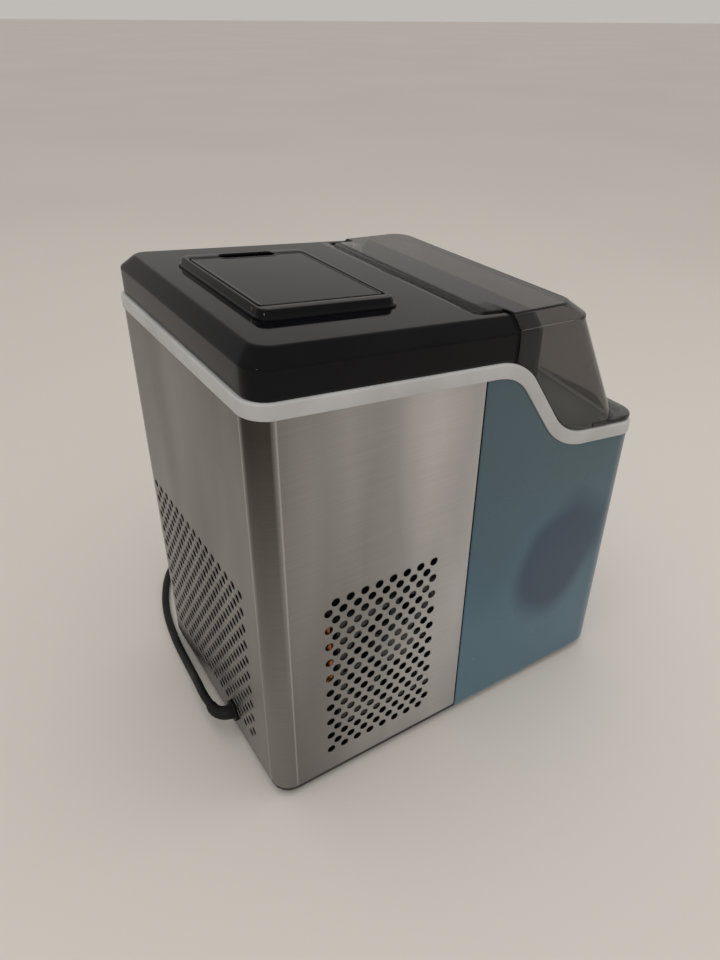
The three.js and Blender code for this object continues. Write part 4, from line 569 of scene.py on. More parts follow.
# ---------------------------------------------------------------- mains lead
def smooth_line(points, steps=8):
    """Centripetal Catmull-Rom curve through points: on each stretch the tangents come from the two
    neighbours, weighed by the square roots of the distances, and steps points are worked out."""
    p = np.asarray(points, float)
    p = np.concatenate([[2 * p[0] - p[1]], p, [2 * p[-1] - p[-2]]])
    gap = np.sqrt(np.linalg.norm(np.diff(p, axis=0), axis=1))
    a, b, c, d = p[:-3], p[1:-2], p[2:-1], p[3:]
    ga, gb, gc = (g[:, None] for g in (gap[:-2], gap[1:-1], gap[2:]))
    out_b = gb * ((b - a) / ga - (c - a) / (ga + gb) + (c - b) / gb)
    in_c = gb * ((c - b) / gb - (d - b) / (gb + gc) + (d - c) / gc)
    t = np.arange(steps)[None, :, None] / steps
    b, c, out_b, in_c = (q[:, None] for q in (b, c, out_b, in_c))
    leaving = (2 * t**3 - 3 * t**2 + 1) * b + (t**3 - 2 * t**2 + t) * out_b
    curve = leaving + (3 * t**2 - 2 * t**3) * c + (t**3 - t**2) * in_c
    return np.concatenate([curve.reshape(-1, 3), p[-2:-1]])


def tube(path, radius, sides=16):
    """Round tube along path: each point carries a circle of its radius, square to the way ahead, kept
    upright by the world's up."""
    way = np.gradient(path, axis=0)
    way /= np.linalg.norm(way, axis=1)[:, None]
    aside = np.cross(way, (0.0, 0.0, 1.0))
    aside /= np.linalg.norm(aside, axis=1)[:, None]
    up = np.cross(aside, way)
    cos, sin = ways(np.linspace(0, 2 * math.pi, sides, endpoint=False)).T[:, :, None]
    r = np.broadcast_to(radius, len(path))[:, None, None]
    return path[:, None] - r * cos * aside[:, None] + r * sin * up[:, None]


CORD = 7.4
LYING = 3.8  # height of the lead's middle line where it lies on the table
GLAND = np.array([-33.0, BACK, 26.4])
FLANGE = 2.4
BOOT_BEND = 12.0  # radius of the boot's middle line, which bends for 18 mm
BOOT_START = BACK + FIT + FLANGE
BOOT_ANGLE = 18.0 / BOOT_BEND
BEND_RINGS, END_RINGS = 70, 20
COIL_MIDDLE = np.array([178.5, 76.0])
COIL_PITCH, COIL_INNER, COIL_LOW = 8.1, 33.0, 4.8
COIL_END = 5 * math.pi
PLUG_PLACE = np.array([230.0, 0.0, 10.0])


def boot_point(angle):
    """Middle line of the boot: an arc from straight back towards the right."""
    x, y = GLAND[0] + BOOT_BEND * (1 - np.cos(angle)), BOOT_START + BOOT_BEND * np.sin(angle)
    return np.stack(np.broadcast_arrays(x, y, GLAND[2]), -1)


boot_way = np.array([math.sin(BOOT_ANGLE), math.cos(BOOT_ANGLE), 0.0])
boot_end = boot_point(BOOT_ANGLE)
lead_route = [
    boot_end + boot_way * 4.0, boot_end + boot_way * 7.7,
    (-6, 188.6, 26.2), (3, 188.2, 25.2), (13, 187.1, 22.9), (24, 185.9, 19.4), (36, 184.5, 15.2),
    (49, 183.2, 11), (62, 182, 7.6), (76, 181, 5.2), (91, 179.9, 4.1), (108, 178, LYING), (125, 175.6, LYING),
    (141, 172.4, LYING), (157, 167.8, LYING), (172, 162.2, LYING), (187, 155.2, LYING), (201, 146.4, LYING),
    (213.5, 134.8, LYING), (223.6, 119.5, LYING), (229.8, 103.5, 4.2), (231.5, 93.5, 4.6),
    (231.75, 83.4, COIL_LOW),
]
# the coil winds inwards on the table, climbs by one lead and winds outwards above itself
coil_turn = np.linspace(-COIL_END, COIL_END, 5 * 48 + 1)
coil_radius = COIL_INNER + COIL_PITCH * np.abs(coil_turn) / (2 * math.pi)
coil_climb = np.clip((coil_turn + math.pi / 2) / math.pi, 0, 1)
coil_line = at_height(
    COIL_MIDDLE + coil_radius[:, None] * ways(-coil_turn - COIL_END), COIL_LOW + COIL_PITCH * coil_climb
)
tail_route = [
    (231.75, 68.6, 12.9), (231.9, 55, 12), (232, 41, 9), (232, 27, 5.9), (231.8, 13, 4), (231.2, -1, 4.4),
    (230.6, -13, 6.8), (230.2, -24, 9.2), (230, -33.7, 10),
]
lead_path = np.concatenate([smooth_line(lead_route), coil_line, smooth_line(tail_route)])
mains_lead = piece(
    "mains_lead", loft(tube(lead_path, CORD / 2)), "cord_black",
    stands_for=("cord_lead", "cord_coil", "cord_tail"), crease=60,
)

# elbow boot: tapers from 6.4 to 4.55 round its bend, with five grooves near its end
share = np.linspace(0, 1, BEND_RINGS + END_RINGS)
boot_bend = boot_point(share[:BEND_RINGS] / share[BEND_RINGS - 1] * BOOT_ANGLE)
boot_path = np.concatenate([boot_bend, boot_end + boot_way * np.linspace(0.2, 3.6, END_RINGS)[:, None]])
groove = np.clip(np.sin((share - 0.42) * 2 * math.pi * 8), 0, 1) ** 2 * (share > 0.42)
boot_skin = loft(tube(boot_path, 6.4 - 1.85 * share - 0.5 * groove, 28))
flange = loft(lathe(eased(9.4, 0.6, FIT, FIT + FLANGE), GLAND, "y"))
sleeve = loft(lathe([[6.5, -2.0], [6.5, 0.6]], GLAND, "y"))
gland = piece("strain_relief", put_together(boot_skin, flange, sleeve), "cord_black", stands_for=("cord_gland",))


def box_rings(along, half_widths, half_heights, radii, place=(0.0, 0.0, 0.0)):
    """Sections of a moulded body at place: at each distance towards the front a rounded rectangle of its
    own half width, half height and corner radius."""
    rings = []
    for far, w, h, r in zip(along, half_widths, half_heights, radii):
        outline = rounded_plan(w, -h, h, r, turn=6)
        rings.append(np.column_stack([outline[:, 0], np.full(len(outline), -far), outline[:, 1]]))
    return np.array(rings) + place


# plug: neck, shoulders and grip, drawn from its back to its face, with three ribs on each side
plug_rings = box_rings(
    (34.0, 35.2, 38.5, 43.0, 46.2, 49.0, 64.5, 66.8, 67.8, 68.0),
    (4.5, 5.0, 7.0, 10.2, 11.9, 12.4, 12.4, 11.9, 10.8, 10.0),
    (4.5, 5.0, 6.2, 8.2, 9.5, 9.9, 9.9, 9.5, 8.6, 8.0),
    (4.4, 4.6, 4.9, 5.0, 5.0, 5.0, 5.0, 5.0, 4.6, 4.2),
    PLUG_PLACE,
)
plug_parts = [loft(plug_rings)]
for y in (53.5, 57.0, 60.5):
    rib = box_rings((y, y, y - 1.6, y - 1.6), (12.1, 12.6, 12.6, 12.1), (5.6,) * 4, (2,) * 4)
    rib[..., 0] = np.clip(rib[..., 0], -12.45, 12.45)
    plug_parts.append(loft((rib + PLUG_PLACE)[::-1]))
plug_body = piece("moulded_plug", put_together(*plug_parts), "plug_black", stands_for=("plug",))
blade_parts = [
    loft(
        box_rings(
            (67.4, 83.2, 84.6, 85.0), (0.75, 0.75, 0.6, 0.3), (3.1, 3.1, 2.6, 2.2), (0.3, 0.3, 0.25, 0.15),
            PLUG_PLACE + (side * 6.35, 0.0, 3.6),
        )
    )
    for side in (-1, 1)
]
pin_profile = [[2.3, -67.4], [2.3, -83.0], [1.9, -84.4], [1.1, -84.95]]
blade_parts.append(loft(lathe(pin_profile, PLUG_PLACE - (0.0, 0.0, 4.4), "y", 24)))
plug_blades = piece("plug_blades", put_together(*blade_parts), "pin_steel", finish=nickel)

# tie: a rounded strap round the coil's left side
TIE_WALL, TIE_HALF_WIDTH, TIE_HALF_HEIGHT = 0.8, 3.9, 8.85
tie_outer, tie_inner = (
    rounded_plan(12.9 - inset, inset - TIE_HALF_HEIGHT, TIE_HALF_HEIGHT - inset, 4.7 - inset)
    for inset in (0.0, TIE_WALL)
)
tie_rings = [
    np.column_stack([ring[:, 0] + 137.4, np.full(len(ring), COIL_MIDDLE[1] + way), ring[:, 1] + TIE_HALF_HEIGHT])
    for ring, way in zip(
        (tie_inner, tie_outer, tie_outer, tie_inner), np.array([-1, -1, 1, 1]) * TIE_HALF_WIDTH
    )
]
tie_points, tie_faces = ring_loft(tie_rings)
coil_tie = piece("coil_strap", (tie_points, tie_faces[:, ::-1]), "tie_black", stands_for=("cord_tie",))


# ---------------------------------------------------------------- body walls
VENT = 3.6
VENT_COLUMN = 6.07  # from one vent to the next in the row above or below
VENT_ROW = 8
VENT_TOP = 186.4  # middle of the top row
VENT_ROWS = 20
# last vent column from the middle of the back, and first from y = 0 on the left wall, by their middles
BACK_VENTS, SIDE_VENTS = -74.4, 125.7
BLOCK = 4  # cells across a vent
DRAIN = (128.0 - SEAM, 34.0, 7.3)  # place along the wall, height and radius
# along the wall: the middle and the left end of the back, the left seam, and where y would be 0
WALL_MIDDLE, WALL_LEFT, WALL_END, WALL_ZERO = 282.3327, 383.3327, 564.6654, 565.4655


def vented_wrap():
    """Steel sheet from seam to seam round the back. A grid of s along the wall and height, in which each
    vent takes a block of four by four cells: the block's sixteen edge points are joined to sixteen points
    on a circle of radius 3.6. Blocks lie like bricks, 12.14 wide and 8 high. Returns points, faces and
    UVs."""
    cell, rise = VENT_COLUMN / 2, 2.0
    field_high = VENT_TOP + VENT_ROW / 2
    field_low = field_high - VENT_ROWS * VENT_ROW
    back_low = WALL_MIDDLE - (BACK_VENTS + 29 * VENT_COLUMN)
    side_low = WALL_ZERO - (SIDE_VENTS + VENT_COLUMN)
    back_s = back_low + cell * np.arange(61)
    side_s = side_low + cell * np.arange(35)
    arc_right, arc_left = LEG + BACK_CORNER * quarter(12), WALL_LEFT + BACK_CORNER * quarter(12)
    drain_lines = DRAIN[0] + np.array([-10.0, -5.0, 0.0, 5.0, 10.0])
    s = np.concatenate(
        [
            np.linspace(0, drain_lines[0], 9), drain_lines, np.linspace(drain_lines[-1], LEG, 4),
            arc_right[arc_right < back_low - 0.3], back_s, np.linspace(back_s[-1], arc_left[0], 4),
            arc_left, np.linspace(arc_left[-1], side_low, 4), side_s, np.linspace(side_s[-1], WALL_END, 5),
        ]
    )
    s = np.unique(np.round(s, 4))
    s = s[np.concatenate([[True], np.diff(s) > 0.01])]
    z = np.concatenate([[11.5, 14.0, 18.0, 22.0, 26.0], field_low + rise * np.arange(81)])
    # share of the way from the field's top to the trim, for the rows above it
    lift = np.linspace(0, 1, 8)[1:, None]
    flat, out = body_wall(s)
    top = trim_line(flat[:, 1], TRIM_HEIGHT + FIT)
    # hem: the lower edge rolls inwards
    hem = np.array([[4.0, 10.0], [1.5, 10.0], [0.8, 10.25], [0.25, 10.8]])
    level_rows = np.concatenate([hem[:, 1], z])
    height = np.concatenate([np.repeat(level_rows[:, None], len(s), 1), field_high + lift * (top - field_high)])
    rows, columns = height.shape
    inset = np.concatenate([hem[:, 0], np.zeros(rows - len(hem))])
    xy = flat[None] - inset[:, None, None] * out[None]
    grid = np.concatenate([xy, height[..., None]], -1)
    uv = [np.stack([np.broadcast_to(s, height.shape), height], -1).reshape(-1, 2)]

    def column_of(place):
        return int(np.argmin(np.abs(s - place)))

    def row_of(level):
        return len(hem) + int(np.argmin(np.abs(z - level)))

    # left column and lowest row of the block, its rows, and the circle's place, height and radius
    holes = []
    for j in range(VENT_ROWS):
        level, odd = VENT_TOP - VENT_ROW * j, j % 2
        for wall, first, step, columns_here in (
            (WALL_MIDDLE, BACK_VENTS, VENT_COLUMN, range(odd, 29 - odd, 2)),
            (WALL_ZERO, SIDE_VENTS, -VENT_COLUMN, range(1 - odd, 16 - odd, 2)),
        ):
            for k in columns_here:
                centre = wall - (first + step * k)
                holes.append((column_of(centre - VENT_COLUMN), row_of(level - 4), BLOCK, centre, level, VENT))
    low_row = row_of(26.0)
    holes.append((column_of(drain_lines[0]), low_row, row_of(field_low + 12.0) - low_row, *DRAIN))
    blocks = [np.s_[row : row + tall, column : column + BLOCK] for column, row, tall, *_ in holes]
    points, faces = ([part] for part in sheet(grid, blocks))
    base = rows * columns
    for column, row, tall, centre, level, radius in holes:
        edge = np.concatenate(
            [
                row * columns + column + np.arange(BLOCK),
                (row + np.arange(tall)) * columns + column + BLOCK,
                (row + tall) * columns + column + BLOCK - np.arange(BLOCK),
                (row + tall - np.arange(tall)) * columns + column,
            ]
        )
        corners = np.array([0, BLOCK, BLOCK + tall, 2 * BLOCK + tall, len(edge)])
        angle = np.interp(np.arange(len(edge)), corners, np.radians([-135, -45, 45, 135, 225]))
        ring_uv = (centre, level) + radius * ways(angle)
        points.append(np.column_stack([body_wall(ring_uv[:, 0])[0], ring_uv[:, 1]]))
        uv.append(ring_uv)
        ring = base + np.arange(len(edge))
        base += len(edge)
        faces.append(np.stack([edge, np.roll(edge, -1), np.roll(ring, -1), ring], -1))
    faces = np.concatenate(faces)
    used, renumbered = np.unique(faces, return_inverse=True)
    return np.concatenate(points)[used], renumbered.reshape(faces.shape), np.concatenate(uv)[used]


*wrap_skin, wrap_uv = vented_wrap()
steel_wrap = piece(
    "vented_steel_wrap", wrap_skin, "steel_wrap", stands_for=("rear_wrap",), crease=40, uv=wrap_uv
)
thickened(steel_wrap, SHEET, welded=False)


def front_sheet():
    """Blue sheet from seam to seam round the front: a grid of places along the U and shares of height up
    to the trim's lower edge, with the lower edge rolled inwards and a window for the control panel."""
    flat_half, panel_half = HALF - FRONT_CORNER, 62.3
    panel_left, panel_right = ((flat_half - way) / (2 * flat_half) for way in (panel_half, -panel_half))
    legs = np.linspace(0, 1, 70)
    turns = 14
    across = np.array([0.0, 0.08, 0.16, panel_left, 0.32, 0.5, 0.68, panel_right, 0.84, 0.92, 1.0])
    foot = 7.0
    top_front = TRIM_FRONT - TRIM_HEIGHT - FIT
    low, high = ((level - foot) / (top_front - foot) for level in (195.7, 224.3))
    hem = ((4.0, 0.0), (1.5, 0.0), (0.8, 0.25), (0.25, 0.9))
    rings = []
    for inset, lift in hem:
        plan = u_ring(HALF - inset, SEAM, BACK - inset, FRONT_CORNER - inset, legs, turns, across)
        rings.append(at_height(-plan, foot + lift))
    plan = -u_ring(HALF, SEAM, BACK, FRONT_CORNER, legs, turns, across)
    top = trim_line(plan[:, 1], TRIM_HEIGHT + FIT)
    # round the front corners the top edge follows the trim's front stretch
    behind = FRONT_CORNER - BACK + 0.01
    top = np.where(plan[:, 1] < behind, top_front + (plan[:, 1] + BACK) * FRONT_SLOPE, top)
    for share_up in (0.015, 0.08, 0.2, 0.35, 0.5, 0.65, low, (low + high) / 2, high, 0.97, 1.0):
        rings.append(at_height(plan, foot + share_up * (top - foot)))
    # the window lies between the panel's lines, and from the row at low to the one at high
    first, near = len(hem) + 6, len(legs) + turns - 1
    return sheet(rings, [np.s_[first : first + 2, near + 3 : near + 7]])


blue_front = piece("blue_front_sheet", front_sheet(), "blue_shell", stands_for=("front_shell",), crease=50)
thickened(blue_front, SHEET, welded=False)


def trim_band():
    """Band round the body: a closed profile of drops below the top edge and insets, carried round the
    body's plan; each drop follows its own line, so the band keeps its height through the step."""
    steps, proud, inner = 10, 1.2, 3.3
    corners = rounded_plan(HALF, -BACK, BACK, FRONT_CORNER, BACK_CORNER, steps)
    ways_out = ways(np.add.outer((-math.pi / 2, 0.0, math.pi / 2, math.pi), quarter(steps)).ravel())
    low_y, high_y = -BACK + FRONT_CORNER, BACK - BACK_CORNER
    leg_y = low_y + np.linspace(0, 1, 110)[1:-1] * (high_y - low_y)
    right_leg = np.column_stack([np.full(len(leg_y), HALF), leg_y])
    ahead_out = np.tile((1.0, 0.0), (len(leg_y), 1))
    # the right leg follows the first corner, and the left leg the third
    one, three = steps + 1, 3 * (steps + 1)
    base = np.concatenate(
        [corners[:one], right_leg, corners[one:three], right_leg[::-1] * (-1, 1), corners[three:]]
    )
    out = np.concatenate([ways_out[:one], ahead_out, ways_out[one:three], -ahead_out, ways_out[three:]])
    # (drop, inset): outer face from its foot up, over the rounded top edge, then down the inner face
    cos, sin = ways(quarter(5)).T
    low_edge, top_edge = 0.7, 1.9
    upper = np.stack([top_edge - top_edge * sin, -proud + top_edge - top_edge * cos], -1)
    lower = np.stack([TRIM_HEIGHT - low_edge + low_edge * cos, -proud + low_edge - low_edge * sin], -1)
    rings = []
    for drop, inset in np.concatenate([[[TRIM_HEIGHT, inner]], lower, upper, [[0.0, inner]]]):
        spot = base - inset * out
        rings.append(at_height(spot, trim_line(spot[:, 1], drop)))
    return ring_loft(rings)


piece("grey_trim_band", trim_band(), "trim_white", stands_for=("trim_ring",), crease=45)


# ---------------------------------------------------------------- cover
def cover_shell():
    """Gloss cover: a profile of inset and drop below the sloping roof, upright wall, chamfer and rounded
    creases, carried round an open U; the roof is a grid across it with the fill mouth left out, and the
    two cheeks beside the hinge are closed by flat faces."""
    start, end, wall = -26.0, 171.3, 24.0
    profile = filleted([(0.0, wall), (0.0, CHAMFER), (CHAMFER, 0.0), (FLAT_INSET, 0.0)], [3.5, 3.5], 5)
    radius = lambda e: 15.0 - 3.0 * e / CHAMFER if e < CHAMFER else 12.0 - (e - CHAMFER) * 0.6
    cheek_rows, lip_y = [-26, -22, -15, -9], -4.0
    y_end = end - FLAT_INSET - radius(FLAT_INSET)
    y_rows = np.array(
        [*cheek_rows, lip_y, 2, 12, 24, 36, 44, MOUTH_FRONT, 62, 74, 88, 102, 114, MOUTH_BACK, 134, 140, y_end]
    )
    legs = (y_rows - start) / (y_end - start)
    half_last = COVER_HALF - FLAT_INSET
    x_lines = both_sides(np.array([1, CHEEK / half_last, 0.8, 0.65, MOUTH_HALF / half_last, 0.3, 0.15, 0]))
    plan_of = lambda inset: u_ring(
        COVER_HALF - inset, start, end - inset, radius(inset), legs, CORNER_TURNS, (1 - x_lines) / 2
    )
    plan = plan_of(0.0)
    foot, wall_top = trim_line(plan[:, 1]) + FIT, cover_top(plan[:, 1]) - wall
    rings = [at_height(plan, foot + way * (wall_top - foot)) for way in (0.0, 0.35, 0.7)]
    for inset, drop in profile:
        plan = plan_of(inset)
        rings.append(at_height(plan, cover_top(plan[:, 1]) - drop))
    roof = roof_grid(rings[-1], legs, x_lines)
    # before the lip only the cheeks have a roof, and the mouth lies between its own lines
    lip_row, mouth_low, mouth_high = np.searchsorted(y_rows, (lip_y, MOUTH_FRONT, MOUTH_BACK))
    left_out = [np.s_[:lip_row, 1:-1], np.s_[mouth_low:mouth_high, 4:-4]]
    # the roof's front edge between the cheeks, folded down
    fold = cover_top(lip_y) + np.array([[0.0], [-4.0], [-11.0]])
    lip = np.stack(np.broadcast_arrays(np.linspace(CHEEK, -CHEEK, 9), lip_y, fold), -1)
    parts = [loft(rings, False, False), sheet(roof, left_out, True), sheet(lip)]
    # cheeks: front face and inner face
    inner_y = np.array([*cheek_rows, lip_y])
    for way in (1, -1):
        inner = np.column_stack([np.full(len(inner_y), way * CHEEK), inner_y])
        wall_rows = np.stack([at_height(inner, trim_line(inner_y) + FIT), at_height(inner, cover_top(inner_y))])
        outline = np.concatenate([[ring[0 if way > 0 else -1] for ring in rings], wall_rows[::-1, 0]])
        order = np.arange(len(outline))
        parts += [(outline, [order[::-1] if way > 0 else order]), sheet(wall_rows, flip=way > 0)]
    return put_together(*parts)


cover = piece("gloss_cover", cover_shell(), "cover_black", stands_for=("top_cover",), crease=40)
thickened(cover, COVER_WALL)

SLOT_MIDDLE = 89.5
SLOT_HALF = 22.0
SLOT_ROUND = 5.4
SLOT_LINE = 58.15  # from the middle to the slot's long middle line


def with_slot(corners, edge, reach, way):
    """Rounded plan with a finger slot in its right side: from front to back it runs at edge, and between
    the slot's ends moves by way to reach along a quarter circle at each end."""
    turn = quarter(7)
    x = SLOT_LINE + (reach - SLOT_LINE) * np.sin(turn)
    x = np.maximum(x, edge) if way > 0 else np.minimum(x, edge)
    y = SLOT_MIDDLE - SLOT_HALF + SLOT_ROUND * (1 - np.cos(turn))
    half_way = np.concatenate([[[edge, y[0] - 0.4]], np.column_stack([x, y])])
    first = len(corners) // 4
    other = half_way[::-1] * (1, -1) + (0, 2 * SLOT_MIDDLE)
    return np.concatenate([corners[:first], half_way, other, corners[first:]])


def hatch_frame():
    """Raised frame round the fill mouth: rings of rounded rectangles from the frame's foot over a small
    step and its rounded rim, down to the ledge that the hatch lies on, and down through the mouth. On the
    right the inner rings give way to the finger slot, and on the left their corners are tighter, so that
    the hatch's rolled edge can turn."""
    # half width, front, back, corner radius, height above the cover and the slot's reach
    rows = (
        (69.0, 38.0, 141.0, 9.0, -0.4, 0), (69.0, 38.0, 141.0, 9.0, 0.9, 0), (68.8, 38.2, 140.8, 8.8, 1.3, 0),
        (68.3, 38.7, 140.3, 8.4, 1.5, 0), (67.5, 39.5, 139.5, 7.6, 1.6, 0), (67.2, 39.8, 139.2, 7.4, 1.9, 0),
        (66.4, 40.6, 138.4, 6.7, RIM - 1.0, 0), (66.1, 40.9, 138.1, 6.4, RIM - 0.4, 0),
        (65.6, 41.4, 137.6, 6.0, RIM - 0.08, 0), (65.0, 42.0, 137.0, 5.6, RIM, 0),
        (58.6, 42.9, 136.1, 4.8, RIM, 64.1), (58.1, 43.4, 135.6, 4.4, RIM - 0.1, 63.8),
        (57.75, 43.75, 135.25, 4.1, RIM - 0.5, 63.55), (57.6, 43.9, 135.1, 4.0, RIM - 1.1, 63.4),
        (57.6, 43.9, 135.1, 4.0, 1.2, 63.4), (57.0, 44.5, 134.5, 4.0, 0.6, 62.8),
        (MOUTH_HALF, MOUTH_FRONT, MOUTH_BACK, 9.0, 0.6, 0), (MOUTH_HALF, MOUTH_FRONT, MOUTH_BACK, 9.0, -8.0, 0),
    )
    rings = []
    for half, front, back, radius, rise, reach in rows:
        corners = rounded_plan(half, front, back, radius)
        if reach:
            left = len(corners) // 2
            corners[left:] = rounded_plan(half, front, back, radius - 2.4)[left:]
        outline = with_slot(corners, half, max(reach, half), 1)
        rings.append(at_height(outline, cover_top(outline[:, 1]) + rise))
    return loft(rings, False)


piece("hatch_frame", hatch_frame(), "cover_black", crease=50)


# ---------------------------------------------------------------- fill hatch
def inset_outline(outline, distance):
    """Closed anticlockwise outline moved inwards square to its edges: each point goes along the bisector
    of its two edges' inward directions."""
    after = np.roll(outline, -1, 0) - outline
    after /= np.linalg.norm(after, axis=1)[:, None]
    inward = np.stack([-after[:, 1], after[:, 0]], -1)
    middle = inward + np.roll(inward, 1, 0)
    scale = 2.0 / np.maximum((middle**2).sum(1), 0.5)
    return outline + distance * middle * scale[:, None]


def hatch_plate():
    """Fill hatch: a plate with a rounded rim and a very shallow dish, with half of the finger slot let into
    its right edge, and the rolled hinge edge along its left."""
    half, rolled = 57.0, 2.4
    outline = with_slot(rounded_plan(half, 44.5, 134.5, 4.0), half, 52.9, -1)
    rows = (
        (0.6, -3.5), (0.0, -2.9), (0.0, -0.8), (0.12, -0.35), (0.4, -0.08), (0.8, 0.0), (1.4, 0.0), (1.7, -0.05),
        (2.0, -0.2), (2.4, -0.3), (3.1, -0.3),
    )
    rings = []
    for inset, rise in rows:
        ring = inset_outline(outline, inset)
        rings.append(at_height(ring, cover_top(ring[:, 1]) + RIM + rise))
    y = np.linspace(48.0, 131.0, 3)
    hinge = np.stack([np.full(3, rolled - half), y, cover_top(y) + RIM - rolled], -1)
    return put_together(loft(rings), loft(tube(hinge, rolled, 24)))


piece("fill_hatch_panel", hatch_plate(), "cover_black", body="hatch", stands_for=("fill_hatch",))


# ---------------------------------------------------------------- hood
HINGE_Y, HINGE_Z = -10.0, 359.975
HINGE_RADIUS, HINGE_BORE, HINGE_HALF = 5.0, 2.9, 96.7


def hood_top(y):
    """The hood's flat top, level with the hinge's top there and falling gently towards the front."""
    return 364.975 + (np.asarray(y, float) - HINGE_Y) * 0.045


def hood_shell():
    """Smoked hood: rings of an open U at each inset and drop below its top, whose front leans back; below
    the chamfer each ring point goes down its own straight line until it meets the trim. The roof is a grid
    across, and runs on between the cheeks to the rolled hinge edge."""
    start = 26.3
    foot_z, toe, crown = 251.0, -153.0, -94.0
    lean = (crown - toe) / (float(hood_top(crown)) - foot_z)
    front_at = lambda level: toe + (level - foot_z) * lean
    front_high = front_at(float(hood_top(crown)) - CHAMFER)
    front_top = crown + 9.0
    low, below = 235.5, 3.0
    radius = lambda e: 20.0 - 6.0 * min(e, CHAMFER) / CHAMFER
    legs = np.linspace(0, 1, 26)
    half_last = COVER_HALF - FLAT_INSET
    x_lines = both_sides(np.array([1, HINGE_HALF / half_last, 0.75, 0.5, 0.25, 0]))
    ring_of = lambda half, front, r: -u_ring(half, start, -front, r, legs, CORNER_TURNS, (1 - x_lines) / 2)
    high_plan, low_plan = (ring_of(COVER_HALF, front, 20.0) for front in (front_high, front_at(low)))
    high = at_height(high_plan, hood_top(high_plan[:, 1]) - CHAMFER - below)
    fall = at_height(low_plan, low) - high
    # halving finds each point's share of the way down, 0.8 above the trim
    a, b = np.zeros(len(high)), np.ones(len(high))
    for _ in range(40):
        middle = (a + b) / 2
        spot = high + middle[:, None] * fall
        above = spot[:, 2] > trim_line(spot[:, 1]) + 0.8
        a, b = np.where(above, middle, a), np.where(above, b, middle)
    rings = [high + (way * a)[:, None] * fall for way in (1, 0.97, 0.85, 0.6, 0.3, 0.0)]
    line = [(0.0, CHAMFER + below), (0.0, CHAMFER), (CHAMFER, 0.0), (FLAT_INSET, 0.0)]
    for inset, drop in filleted(line, [2.2, 2.2], 4)[1:]:
        front = front_high + (front_top - front_high) * min(inset, CHAMFER) / CHAMFER + max(inset - CHAMFER, 0)
        plan = ring_of(COVER_HALF - inset, front, radius(inset))
        rings.append(at_height(plan, hood_top(plan[:, 1]) - drop))
    roof = roof_grid(rings[-1], legs, x_lines)
    x, y = -x_lines[1:-1] * half_last, np.array([[-10.0], [-15.0], [-20.0], [-26.3]])
    rear = np.stack(np.broadcast_arrays(x, y, hood_top(y)), -1)
    return put_together(loft(rings, False, False), sheet(roof, flip=True), sheet(rear, flip=True))


hood = piece("smoked_hood", hood_shell(), "smoked_hood", body="hood", stands_for=("window_lid",), crease=30)
thickened(hood, COVER_WALL)


def hood_edge():
    """The hood's rolled hinge edge, a hollow bar between the cheeks, and its lip: a closed profile with
    rounded edges carried round the foot of the hood's front, between the line of the hood's wall and an
    outer line level with the trim, both of which are open Us."""
    outer = eased(HINGE_RADIUS, 0.8, -HINGE_HALF, HINGE_HALF)
    bar_profile = [*outer, [HINGE_BORE, HINGE_HALF], [HINGE_BORE, -HINGE_HALF], outer[0]]
    bar = loft(lathe(bar_profile, (0.0, HINGE_Y, HINGE_Z), "x", 32), False)
    legs, across, turns = np.linspace(0, 1, 8), np.linspace(0, 1, 9), 12
    inner_u = -u_ring(113.9, 116.0, 150.2, 17.0, legs, turns, across)
    outer_u = -u_ring(116.7, 116.0, 172.6, 21.0, legs, turns, across)
    lip_low, lip_high, soft = 1.0, 4.6, 1.1
    run = outer_u - inner_u
    outward = run / np.linalg.norm(run, axis=1)[:, None]
    # share of the way out, rise above the trim and step back from the outer line
    profile = [(0.0, lip_low, 0.0)]
    cos, sin = ways(quarter(4)).T
    profile += [(1.0, lip_low + soft - soft * c, -soft + soft * s) for c, s in zip(cos, sin)]
    profile += [(1.0, lip_high - soft + soft * s, -soft + soft * c) for c, s in zip(cos, sin)]
    profile += [(0.0, lip_high, 0.0)]
    rings = []
    for share_out, rise, back_off in profile:
        spot = inner_u + run * share_out + outward * back_off
        rings.append(at_height(spot, TRIM_FRONT + (spot[:, 1] + BACK) * FRONT_SLOPE + rise))
    lip_points, lip_faces = ring_loft(rings, False)
    first_end = np.arange(len(rings)) * len(inner_u)
    ends = [first_end, first_end[::-1] + len(inner_u) - 1]
    return put_together(bar, (lip_points, [*lip_faces, *ends]))


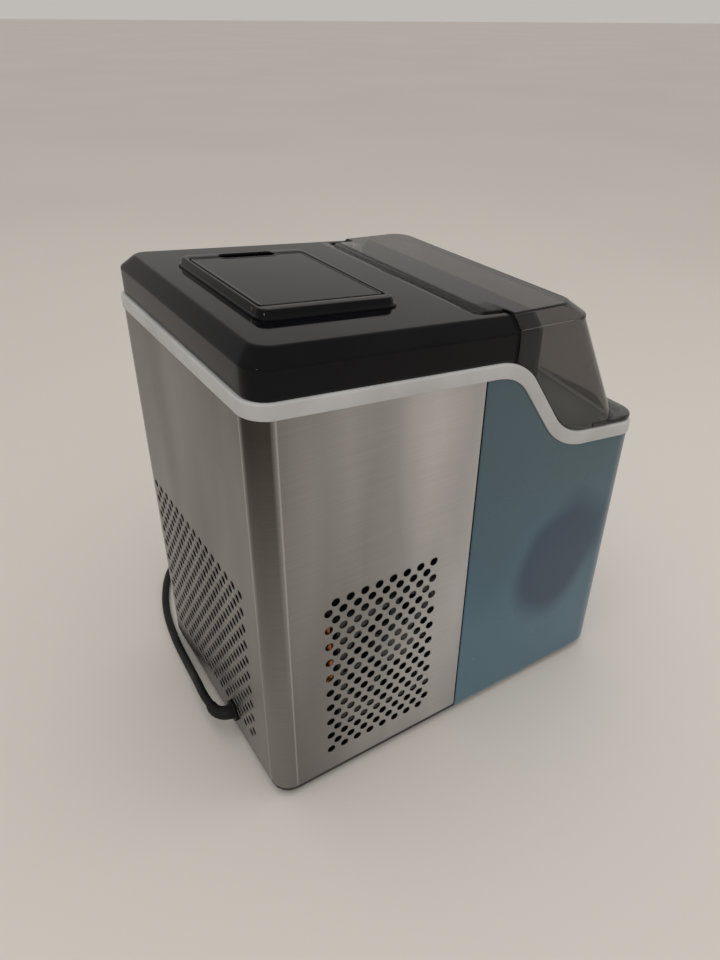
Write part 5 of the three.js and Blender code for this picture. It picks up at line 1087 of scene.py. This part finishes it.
piece("hood_edge", hood_edge(), "smoked_hood", body="hood")

# ---------------------------------------------------------------- floor, lights and world
FLOOR_REACH = 60
floor_mesh = bpy.data.meshes.new("studio_floor")
floor_corners = [(x * FLOOR_REACH, y * FLOOR_REACH, 0) for x, y in ((-1, -1), (1, -1), (1, 1), (-1, 1))]
floor_mesh.from_pydata(floor_corners, [], [(0, 1, 2, 3)])
studio_floor = new_object("studio_floor", floor_mesh)
floor_finish, floor_tree, floor_shader, floor_place = finish_of("pale_floor")
floor_tone = ramp(floor_tree, noise(floor_tree, floor_place, 900.0, 1.0), "#cfcac4", "#d2cdc7")
set_shader(floor_shader, Base_Color=floor_tone, Roughness=0.6)
floor_mesh.materials.append(floor_finish)

# square lamps: place, height of the point on the middle line they are turned to, size in metres and power
for name, place, aim, size, power in (
    ("overhead", (-0.2, 0.2, 1.9), 0.2, 1.6, 8.5),
    ("camera_side", (-1.6, 1.2, 1.3), 0.15, 1.2, 4.5),
    ("front_side", (-0.9, -1.6, 1.2), 0.15, 1.2, 3.5),
    ("small_window", (-1.5, 1.45, 1.7), 0.2, 0.16, 3.0),
):
    lamp = new_object(name, bpy.data.lights.new(name, "AREA"))
    lamp.data.size = size
    lamp.data.energy = power
    lamp.location = place
    lamp.rotation_euler = (Vector((0, 0, aim)) - Vector(place)).to_track_quat("-Z", "Y").to_euler()
    # only the small one is mirrored in the gloss
    lamp.visible_glossy = name == "small_window"

# the world lights the part more than it shows behind it and in its gloss
LIT, SHOWN = 0.85, 0.66
world = bpy.data.worlds.new("studio")
scene.world = world
world.use_nodes = True
world_tree = world.node_tree
backdrop = world_tree.nodes["Background"]
backdrop.inputs["Color"].default_value = srgb("#e6e2dd")
rays = add(world_tree, "LightPath").outputs
seen = maths(world_tree, "MAXIMUM", rays["Is Camera Ray"], rays["Is Glossy Ray"])
seen = maths(world_tree, "MAXIMUM", seen, rays["Is Transmission Ray"])
set_socket(backdrop.inputs["Strength"], between(world_tree, seen, LIT, SHOWN, 0.0, 1.0))
